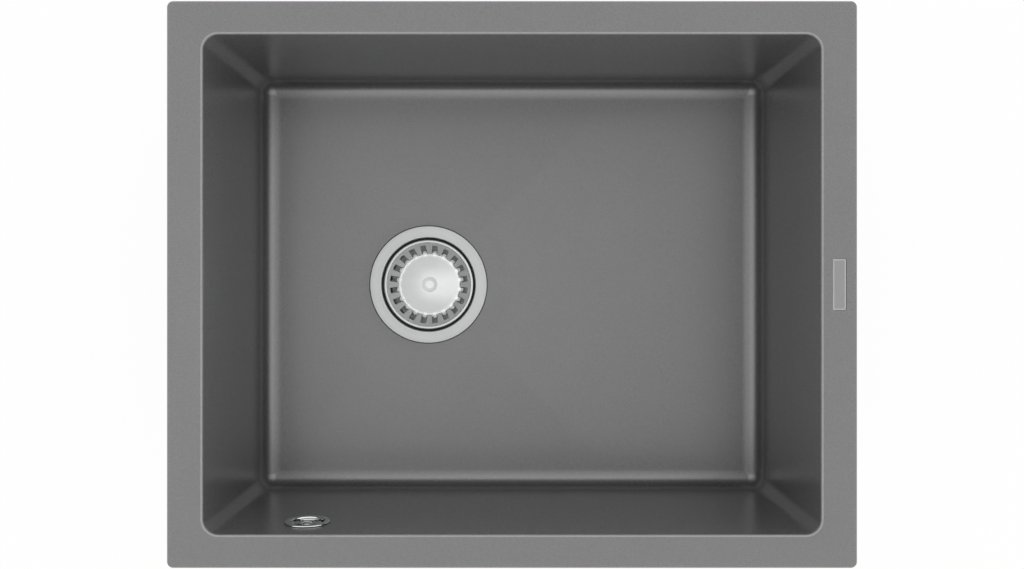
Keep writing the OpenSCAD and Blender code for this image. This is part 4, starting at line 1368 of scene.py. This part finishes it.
@dataclass(frozen=True)
class Waste:
    """Plastic waste body under the sink, with the clamp screw that holds flange and body."""

    top: float = -199.5
    slope: float = -240.8
    outlet_top: float = -250.8
    end: float = -272.8
    outlet: float = 23.9
    bore: float = 20.5
    pitch: float = 2.309
    inlet_axis: float = -227.8
    inlet_end: float = 70.0

    def at_inlet(self) -> Matrix:
        """The overflow inlet's frame, +Z out towards the hose."""
        place = Matrix.Translation((*DRAIN, self.inlet_axis))
        return place @ turned(Hose.turn()) @ turned(90.0, "Y")

    def _body(self) -> Skin:
        """Cup, slope and threaded outlet as one closed turned wall.

        Returns:
            The skin.
        """
        t, s = self.top, self.slope
        outer = soften([(56.5, t), (56.5, t - 3), (50.2, t - 3), (48.5, t - 5.5), (48.5, s - 1.5),
                        (self.outlet, self.outlet_top - 1.5), (self.outlet, self.end + 1.5)],
                       [0.6, 0.6, 0.8, 1.5, 4.0, 1.5, 0], 5, closed=False)
        turns = column(self.outlet, self.end + 21.0, self.end + 1.0, 60)
        tip = soften([(self.outlet - 0.7, self.end), (self.bore + 0.4, self.end),
                      (self.bore, self.end + 0.6)], 0.2, 3, closed=False)
        inner = soften([(self.bore, self.end + 1), (self.bore, self.outlet_top), (45.5, s),
                        (45.5, t - 0.5), (46.2, t)], [0, 2, 5, 0.3, 0], 6, closed=False)
        profile = np.vstack([outer[:-5], turns, tip, inner])
        cut = thread(profile, 144, self.pitch, 1.15, self.end + 0.8, self.end + 20.5)
        on_outside = (profile[:, :1] > self.outlet - 0.05) & (profile[:, 1:2] < self.end + 21.2)
        return lathe(profile, 144, shape=cut * on_outside, centre=DRAIN)

    def _hub(self) -> list[Skin]:
        """The nut's hub and the four ribs that carry it.

        Returns:
            The skins.
        """
        bottom = self.slope
        hub = [(3.3, bottom), (9.05, bottom), (9.05, -226.0), (6.3, -226.0), (6.3, -238.0),
               (3.3, -238.0)]
        corners = [(47.0, 1.5), (8.0, 1.5), (8.0, -1.5), (47.0, -1.5)]
        outline = evenly(soften(corners, 0.1, 3), 48)
        rib = stacked(
            [(outline, bottom), (outline, -228.6), (shrunk(outline, 0.4), -228.0)], (27.0, 0.0)
        )
        return [spun(hub, 0.4, 3, 72, centre=DRAIN), *spread(rib, 4, 45.0)]

    def _gussets(self) -> list[Skin]:
        """Twelve small gussets under the body's flange.

        Returns:
            The skins.
        """
        tri = np.array([[48.0, self.top - 2.8], [55.0, self.top - 2.8], [48.0, self.top - 14.0]])
        outline = evenly(soften(tri, 0.4, 3), 24)
        fin = stacked([(outline, -0.9), (outline, 0.9)], outline.mean(axis=0))
        fin.points = fin.points[:, [0, 2, 1]]
        return spread(fin, 12, 15.0)

    def _inlet(self) -> Skin:
        """The threaded spigot for the hose, from inside the cup's wall to its end.

        Returns:
            The skin, in the inlet's frame.
        """
        end = self.inlet_end
        outer = soften([(SPIGOT, 46.2), (SPIGOT, 52.0)], 0.0, 2, closed=False)
        turns = column(SPIGOT, 52.0, end - 0.8, 44)
        tip = [(11.3, end), (9.4, end), (SPIGOT_BORE, end - 0.4), (SPIGOT_BORE, 45.0)]
        profile = np.vstack([outer, turns, soften(tip, [0, 0.2, 0.2, 0], 3, closed=False)])
        cut = thread(profile, 96, SPIGOT_PITCH, SPIGOT_DEPTH, 54.0, end)
        return lathe(profile, 96, shape=cut * (profile[:, :1] > SPIGOT - 0.1))

    def build(self) -> None:
        """Builds the body and the clamp screw."""
        inlet = self._inlet().placed(self.at_inlet())
        skins = [self._body(), *self._hub(), *self._gussets(), inlet]
        Piece("waste_moulding", Finishes.WHITE, ["waste_body"]).make(skins)
        rod = column(3.0, -239.4, -222.0, 60)
        head = [(3.0, -221.0), (8.0, -221.0), (8.0, -214.0), (4.2, -214.0), (4.2, -220.0),
                (0.0, -220.0)]
        head = soften(head, [0, 0.4, 1.2, 0.5, 0.3, 0], 5, closed=False)
        profile = np.vstack([[(0.0, -240.0), (2.5, -240.0)], rod, head])
        cut = thread(profile, 48, 1.0, 0.5, -239.5, -222.5) * (profile[:, :1] < 3.1)
        Piece("clamp_bolt", Finishes.BASKET, ["clamp_screw"]).make(
            [lathe(profile, 48, False, shape=cut, centre=DRAIN)]
        )


@dataclass(frozen=True)
class Overflow:
    """Chrome cover and screw on the front wall, and the plastic elbow behind it."""

    sheet: float = 0.9
    flange: tuple[float, float] = (18.9, 0.92)
    cup: tuple[float, float] = (14.72, -1.6)
    hub: tuple[float, float, float] = (12.0, 5.6, -0.7)
    screw_seat: float = -1.6
    slots: Slots = Slots(count=4, half=2.5, corner=0.6, cells=(10, 18))
    slot_in: float = 7.4
    slot_top: float = -0.2
    centre: tuple[float, float, float] = (-174.0, -202.116, -34.0)
    elbow: tuple[float, float] = (-174.0, -226.62)
    ball_z: float = -40.0
    end_z: float = -75.0

    @classmethod
    def on_wall(cls) -> Matrix:
        """The frame on the leaning front wall, +Z into the bowl."""
        lean = math.degrees(math.atan(Basin.lean[1] / Basin.depth))
        return Matrix.Translation(cls.centre) @ turned(lean - 90.0, "X")

    def _cover(self) -> Skin:
        """The cover's sheet: flange on the wall, slotted cup in the hole, raised middle.

        Returns:
            The skin, in the wall's frame.
        """
        out, top = self.flange
        side, floor = self.cup
        edge, seat, face = self.hub
        corners = [(out, top - 0.42), (out, top), (side, top), (side, floor), (edge + 0.2, floor),
                   (edge - 0.2, face), (seat + 0.2, face), (seat - 0.2, floor), (2.8, floor)]
        reach = [0, 0.2, 0.5, 0.5, 0.3, 0.3, 0.3, 0.3, 0]
        profile = respaced(soften(corners, reach, 6, closed=False), 90)
        is_open = (profile[:, 0] > self.slot_in) & (profile[:, 1] < self.slot_top)
        return self.slots.skin(profile, is_open, np.zeros(len(profile)), (0.0, 0.0))

    def _elbow(self) -> list[Skin]:
        """Drum with its flange on the wall, and the threaded tube down to the hose.

        Returns:
            The skins.
        """
        face, back = -9.0, -31.0
        drum = [(24.0, face), (24.0, face - 3.0), (20.5, face - 3.0), (20.5, back), (0.0, back),
                (0.0, back + 2.5), (18.0, back + 2.5), (18.0, face)]
        reach = [0.5, 0.7, 1.2, 2.6, 0, 0, 1.5, 0.4]
        stub = [(3.25, -11.0), (5.05, -11.0), (5.05, -29.5), (0.0, -29.5), (0.0, -23.0),
                (3.25, -23.0)]
        skins = [spun(drum, reach, 6, 96), spun(stub, [0.2, 0.4, 0, 0, 0, 0], 3, 48)]
        a = np.radians(np.linspace(90.0, 0.0, 16))
        round_ = np.column_stack([np.cos(a), np.sin(a)])
        middle = np.array([0.0, self.ball_z])
        end = self.end_z
        turns = column(SPIGOT, self.ball_z - 13.0, end + 0.8, 60)
        tip = [(11.3, end), (9.4, end), (SPIGOT_BORE, end + 0.4), (SPIGOT_BORE, self.ball_z)]
        ball, hollow = middle + SPIGOT * round_, middle + SPIGOT_BORE * round_[::-1]
        profile = np.vstack([ball, turns, tip, hollow])
        cut = thread(profile, 96, SPIGOT_PITCH, SPIGOT_DEPTH, end, self.ball_z - 14.0)
        cut = cut * (profile[:, :1] > SPIGOT - 0.1)
        tube = lathe(profile, 96, False, shape=cut, centre=self.elbow)
        return [*(skin.placed(self.on_wall()) for skin in skins), tube]

    def build(self) -> None:
        """Builds cover, screw and elbow."""
        at = self.on_wall()
        Piece("overflow_rosette", Finishes.CHROME, ["overflow_cover"], sheet=self.sheet).make(
            [self._cover().placed(at)]
        )
        seat = self.screw_seat
        rod = column(2.5, seat - 16.8, seat, 60)
        head = [(2.5, seat), (4.4, seat), (4.4, seat + 1.0), (3.0, seat + 1.9), (0.0, seat + 2.2)]
        head = soften(head, [0, 0.1, 0.4, 1.0, 0], 5, closed=False)
        profile = np.vstack([[(0.0, seat - 17.0), (2.0, seat - 17.0)], rod, head])
        cut = thread(profile, 40, 0.8, 0.4, seat - 16.8, seat - 0.5) * (profile[:, :1] < 2.6)
        blade = np.array([[5.0, 0.5], [-5.0, 0.5], [-5.0, -0.5], [5.0, -0.5]])
        slit = stacked([(blade, seat + 1.1), (blade, seat + 4.0)]).placed(at)
        cuts = [cutter_of("slit_cutter", slit)]
        Piece("overflow_bolt", Finishes.CHROME, ["overflow_screw"], cuts=cuts, bevel=0.12).make(
            [lathe(profile, 40, False, shape=cut).placed(at)]
        )
        Piece("overflow_bend", Finishes.WHITE, ["overflow_elbow"]).make(self._elbow())


@dataclass(frozen=True)
class Hose:
    """Corrugated hose from the elbow to the waste body, held at both ends, with its nuts."""

    top_z: float = -77.0
    bend: float = 70.0
    end_s: float = 72.0
    bore: float = 8.8
    valley: float = 9.9
    crest: float = 11.0
    pitch: float = 4.2
    collar: float = 11.9
    sides: int = 36
    steps_per_rib: int = 8

    @staticmethod
    def turn() -> float:
        """Direction of the hose's plane from the drain's axis, in degrees."""
        return math.degrees(math.atan2(Overflow.elbow[1], Overflow.elbow[0] - DRAIN[0]))

    @property
    def span(self) -> float:
        """Level distance between the elbow's outlet and the drain's axis."""
        return math.hypot(Overflow.elbow[0] - DRAIN[0], Overflow.elbow[1])

    @property
    def runs(self) -> tuple[float, float, float]:
        """Lengths of the drop, the bend and the level run."""
        drop = self.top_z - Waste.inlet_axis - self.bend
        return drop, self.bend * math.pi / 2, self.span - self.bend - self.end_s

    def _route(self, t: Array) -> tuple[Array, Array, Array]:
        """Distance from the drain's axis, height and bend angle at lengths along the hose.

        Args:
            t: lengths along the hose.

        Returns:
            Distances, heights and angles.
        """
        drop, arc, _ = self.runs
        a = np.clip((t - drop) / self.bend, 0.0, math.pi / 2)
        level = np.maximum(t - drop - arc, 0.0)
        s = self.span - self.bend * (1 - np.cos(a)) - level
        z = self.top_z - np.minimum(t, drop) - self.bend * np.sin(a)
        return s, z, a

    def _skin(self) -> Skin:
        """The hose: rings square to the route, of a radius that swells and sinks along it.

        The radius is valley + (crest - valley) times a cosine wave of the rib's pitch, flattened
        at its crests; collars stand at both ends, and the bore runs back inside.

        Returns:
            The skin.
        """
        length = sum(self.runs)
        plain = 5.0
        ribs = math.floor((length - 2 * plain) / self.pitch)
        start = (length - ribs * self.pitch) / 2
        t = start + np.arange(ribs * self.steps_per_rib + 1) * self.pitch / self.steps_per_rib
        wave = 0.5 - 0.5 * np.cos((t - start) / self.pitch * TURN)
        r = self.valley + (self.crest - self.valley) * wave**0.7
        head = np.array([[0.0, self.bore], [0.0, self.collar - 0.2], [0.2, self.collar],
                         [1.8, self.collar], [2.0, self.collar - 0.2], [2.0, self.valley]])
        tail = np.column_stack([length - head[::-1, 0], head[::-1, 1]])
        inside = np.linspace(length, 0.0, 90)[1:-1]
        bore = np.column_stack([inside, np.full(88, self.bore)])
        rows = np.vstack([head, np.column_stack([t, r]), tail, bore])
        s, z, a = (v[:, None] for v in self._route(rows[:, 0]))
        round_ = around(self.sides)[None, :]
        radius = rows[:, 1:2]
        out = s + radius * np.cos(round_) * np.cos(a)
        side = -radius * np.sin(round_)
        height = z - radius * np.cos(round_) * np.sin(a)
        way = math.radians(self.turn())
        x = DRAIN[0] + out * math.cos(way) - side * math.sin(way)
        y = DRAIN[1] + out * math.sin(way) + side * math.cos(way)
        return Skin.grid(np.stack([x, y, height], axis=-1), close_rows=True)

    def _nut(self) -> Skin:
        """A hose nut in its own frame: twelve rounded grips, a bore for the thread and a lip.

        Returns:
            The skin.
        """
        columns = 144
        corners = [(14.7, -8.0), (14.7, 6.0), (11.3, 6.0), (11.3, 4.0), (12.1, 4.0), (12.1, -8.0)]
        profile = soften(corners, [0.6, 1.2, 0.4, 0.2, 0.2, 0.4], 5)
        grip = np.clip(2.6 * np.cos(around(columns) * 12) - 1.2, 0.0, 1.0)
        z = profile[:, 1:2]
        fade = np.clip(np.minimum(z + 7.4, 5.2 - z) / 0.8, 0.0, 1.0)
        return lathe(profile, columns, shape=1.15 * grip[None, :] * fade * (profile[:, :1] > 13.5))

    def build(self) -> None:
        """Builds the hose and both nuts."""
        hose = Piece("ribbed_hose", Finishes.HOSE, ["overflow_hose"], sharp=SharpAngle.SOFT)
        hose.make([self._skin()])
        upper = Matrix.Translation((*Overflow.elbow, Overflow.end_z)) @ turned(180.0, "X")
        lower = Waste().at_inlet() @ Matrix.Translation((0.0, 0.0, Waste.inlet_end))
        for name, place in (("upper", upper), ("lower", lower)):
            nut = Piece(f"grip_nut_{name}", Finishes.WHITE, [f"hose_nut_{name}"])
            nut.make([self._nut().placed(place)])


@dataclass(frozen=True)
class FixingClips:
    """Eight toothed steel clips on their screws and washers under the rim."""

    length: float = 40.0
    width: float = 9.0
    thick: float = 2.0
    tip: float = 8.0
    under: float = -50.0
    bend: float = 2.6
    hole: float = 2.65
    bead: float = 0.7
    bead_half: float = 1.7
    rod: float = 2.5
    rod_end: float = -21.0

    def _strip(self) -> Skin:
        """One clip folded along +X, bent up at its toothed tip, with a bead along the middle.

        A flat plate is ringed from the screw's hole to its outline. The far end then goes round
        a quarter circle: beyond the bend's start, x and z turn with the angle (x - start) / r.

        Returns:
            The skin.
        """
        w = self.width / 2
        start = self.length - self.bend
        arc = (self.bend - self.thick / 2) * math.pi / 2
        end = start + arc + self.tip + self.thick - self.bend
        teeth = [(end - 1.5, -w), (end, -w * 2 / 3), (end - 1.5, -w / 3), (end, 0.0),
                 (end - 1.5, w / 3), (end, w * 2 / 3), (end - 1.5, w)]
        a = np.linspace(90.0, 270.0, 24) * math.pi / 180
        head = np.column_stack([w * np.cos(a), w * np.sin(a)])
        x = np.linspace(0.0, end - 1.5, 44)[1:-1]
        low = np.column_stack([x, np.full(42, -w)])
        tip = np.array(teeth)
        steps = np.linspace(0, 0.75, 4)[None, :, None]
        fine = (tip[:-1, None] + np.diff(tip, axis=0)[:, None] * steps).reshape(-1, 2)
        outline = np.vstack([head, low, fine, tip[-1:], low[::-1] * [1, -1]])
        hole = circle_towards(outline, self.hole)
        shares = np.linspace(0.0, 1.0, 30) ** 1.1
        flat = hole[None] + (outline - hole)[None] * shares[:, None, None]
        ridge = np.clip(1.0 - (flat[..., 1] / self.bead_half) ** 2, 0.0, 1.0)
        near, far = flat[..., 0] - 7.0, start - 3.0 - flat[..., 0]
        bead = self.bead * ridge * np.clip(near / 2.5, 0, 1) * np.clip(far / 2.5, 0, 1)
        top = np.dstack([flat, bead + self.thick / 2])
        bottom = np.dstack([flat, bead - self.thick / 2])[::-1]
        points = np.concatenate([top, bottom])
        x, y, z = points[..., 0], points[..., 1], points[..., 2]
        r = self.bend - self.thick / 2
        turn = np.clip((x - start) / r, 0.0, math.pi / 2)
        beyond = np.maximum(x - start - r * math.pi / 2, 0.0)
        bent_x = np.minimum(x, start) + (r - z) * np.sin(turn)
        bent_z = np.where(turn > 0, r - (r - z) * np.cos(turn), z) + beyond
        points = np.stack([bent_x, y, bent_z + self.under + self.thick / 2], axis=-1)
        return Skin.grid(points, close_rows=True)

    def _screw(self) -> Skin:
        """One screw from its hexagon socket to its tip, in its own frame.

        Returns:
            The skin.
        """
        columns = 24
        top = self.under - 1.0
        low = top - 3.5
        end = self.rod_end
        rod = column(self.rod, top + 0.4, end - 0.6, 150)
        head = [(3.9, low), (4.25, low + 1.0), (4.25, top - 0.4), (4.0, top), (self.rod, top)]
        head = soften(head, [0.3, 0.5, 0.2, 0.2, 0], 4, closed=False)
        socket = np.array([[0.0, low + 2.1], [2.1, low + 2.1], [2.1, low + 0.2], [2.3, low]])
        profile = np.vstack([socket, head, rod, [(2.0, end), (0.0, end)]])
        on_rod = (profile[:, :1] < self.rod + 0.1) * (profile[:, 1:2] > top)
        shape = thread(profile, columns, 0.8, 0.42, top + 6.0, end) * on_rod
        six = np.zeros((len(profile), 1))
        six[1:4] = 1.0
        shape = shape + six * profile[:, :1] * (hexagon(columns)[None, :] - 1.0)
        return lathe(profile, columns, False, shape=shape)

    def build(self) -> None:
        """Builds every clip, all the screws as one piece and all the washers as another."""
        places = ClipPlace.all()
        strip, screw = self._strip(), self._screw()
        for place in places:
            clip = Piece(place.name + "_strip", Finishes.ZINC, [place.name], place.name)
            clip.make([strip.placed(place.folded())])
        low, high = self.under - 1.0, self.under
        disc = spun([(2.6, low), (4.5, low), (4.5, high), (2.6, high)], 0.2, 3, 48)
        for name, node, skin in (
            ("clip_bolts", "clip_screws", screw), ("clip_discs", "clip_washers", disc),
        ):
            Piece(name, Finishes.ZINC, [node]).make([skin.placed(p.frame()) for p in places])


@dataclass(frozen=True)
class HiddenParts:
    """CAD nodes that keep their own shape and only get a finish."""

    dressed: tuple[tuple[str, Finishes], ...] = (
        ("flange_seal", Finishes.RUBBER),
        ("waste_seal", Finishes.RUBBER),
        ("overflow_front_seal", Finishes.RUBBER),
        ("overflow_rear_seal", Finishes.RUBBER),
        ("hose_seal_upper", Finishes.RUBBER),
        ("hose_seal_lower", Finishes.RUBBER),
        ("clamp_nut", Finishes.BRASS),
        ("overflow_insert", Finishes.BRASS),
        ("clip_inserts", Finishes.BRASS),
    )

    def dress(self) -> None:
        """Gives each node its material."""
        for name, finish in self.dressed:
            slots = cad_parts[name].data.materials
            slots.clear()
            slots.append(finish.value.material())
            log.info("%s: CAD shape in %s", name, finish.value.name)


@dataclass(frozen=True)
class Studio:
    """Camera, light and floor of the product photograph."""

    camera_height: float = 868.0
    lens: float = 37.3
    floor_z: float = -273.2
    dome_base: float = 0.42
    dome_peak: float = 2.3
    dome_power: float = 6.0
    side_glow: tuple[float, float, float, float] = (0.52, 0.0, 0.12, 0.08)
    gloss: tuple[tuple[float, float], ...] = (
        (0.0, 0.9), (0.12, 1.4), (0.72, 1.5), (0.90, 0.98), (0.97, 0.86),
    )
    gloss_panel: float = 0.50
    panel_right: float = -0.09
    panel_half: tuple[float, float] = (0.098, 0.072)
    panel_left: tuple[float, float] = (-0.32, -0.26)
    floor_share: float = 0.90

    def camera(self) -> None:
        """A camera straight above the middle, with +Y up in the picture."""
        data = bpy.data.cameras.new("overhead")
        data.lens = self.lens
        data.sensor_width = 36.0
        data.clip_start, data.clip_end = 0.05, 50.0
        thing = bpy.data.objects.new("overhead", data)
        thing.location = (0.0, 0.0, self.camera_height * MM)
        bpy.context.scene.collection.objects.link(thing)
        bpy.context.scene.camera = thing

    def _soft(self, kit: NodeKit, way: Wire) -> Wire:
        """Strength of the light that falls on the sink.

        It is base + peak * up^power, with up the upward part of the direction, and a glow low
        down on each side, of the sixth power of the direction's part towards that side.

        Args:
            kit: makes the nodes.
            way: the direction of the light.

        Returns:
            The wire.
        """
        up = kit.split(way, "Z").above(0.0)
        soft = self.dome_base + self.dome_peak * up**self.dome_power
        for glow, axis, sign in zip(self.side_glow, "XXYY", (1.0, -1.0, 1.0, -1.0)):
            soft = soft + glow * (kit.split(way, axis) * sign).above(0.0) ** 6.0
        return soft

    def _shine(self, kit: NodeKit, way: Wire) -> Wire:
        """Strength of what gloss reflects.

        It is brightest low down round the sides and weaker overhead, but for a softbox with round
        ends that stands just left of overhead.

        Args:
            kit: makes the nodes.
            way: the direction of the light.

        Returns:
            The wire.
        """
        up = kit.split(way, "Z").above(0.0)
        x, y = kit.split(way, "X"), kit.split(way, "Y")
        past = (x - self.panel_right).above(0.0)
        near = kit.ramp((past * past + y * y) ** 0.5, *self.panel_half)
        panel = near * kit.ramp(x, *self.panel_left)
        return kit.steps(up, self.gloss) + self.gloss_panel * panel

    def sky(self) -> None:
        """A soft dome for light and gloss; the camera sees it white."""
        world = bpy.data.worlds.new("studio")
        bpy.context.scene.world = world
        world.use_nodes = True
        kit = NodeKit(world.node_tree)
        way = kit.node("ShaderNodeTexCoord", output="Generated")
        dome, gloss, plain = (
            kit.node("ShaderNodeBackground", inputs={"Color": WHITE, "Strength": strength})
            for strength in (self._soft(kit, way), self._shine(kit, way), 1.0)
        )
        is_gloss = kit.node("ShaderNodeLightPath", output="Is Glossy Ray")
        is_camera = kit.node("ShaderNodeLightPath", output="Is Camera Ray")
        lit = kit.node("ShaderNodeMixShader", inputs={0: is_gloss, 1: dome, 2: gloss})
        seen = kit.node("ShaderNodeMixShader", inputs={0: is_camera, 1: lit, 2: plain})
        kit.node("ShaderNodeOutputWorld", inputs={"Surface": seen})

    def floor(self) -> None:
        """A pale floor that glows for the camera and for gloss, and still takes the shadow."""
        reach = 4000.0
        grid = np.array([[[x, y, self.floor_z] for x in (-reach, reach)] for y in (-reach, reach)])
        thing = raw_object("studio_floor", [Skin.grid(grid, close_columns=False)])
        made = bpy.data.materials.new("studio_floor")
        made.use_nodes = True
        kit = NodeKit(made.node_tree)
        kinds = ("Camera", "Glossy", "Transmission")
        path = [kit.node("ShaderNodeLightPath", output=f"Is {kind} Ray") for kind in kinds]
        share = path[0].above(path[1]).above(path[2]) * self.floor_share
        paint = kit.node("ShaderNodeBsdfDiffuse", inputs={"Color": (0.95, 0.95, 0.95, 1.0)})
        glow = kit.node("ShaderNodeEmission", inputs={"Color": WHITE, "Strength": 1.0})
        both = kit.node("ShaderNodeMixShader", inputs={0: share, 1: paint, 2: glow})
        kit.node("ShaderNodeOutputMaterial", inputs={"Surface": both})
        thing.data.materials.append(made)

    def set_up(self) -> None:
        """Sets up the whole studio."""
        bpy.context.scene.view_settings.view_transform = "Standard"
        self.camera()
        self.sky()
        self.floor()


def main() -> None:
    """Builds the studio, then every sub-assembly from the granite outwards."""
    logging.basicConfig(level=logging.INFO, format="%(name)s: %(message)s", stream=sys.stdout)
    Studio().set_up()
    kinds = (Basin, Badge, DrainFlange, StrainerBasket, Waste, Overflow, Hose, FixingClips)
    for kind in kinds:
        log.info("building %s", kind.__name__)
        kind().build()
    HiddenParts().dress()


if __name__ == "__main__":
    main()
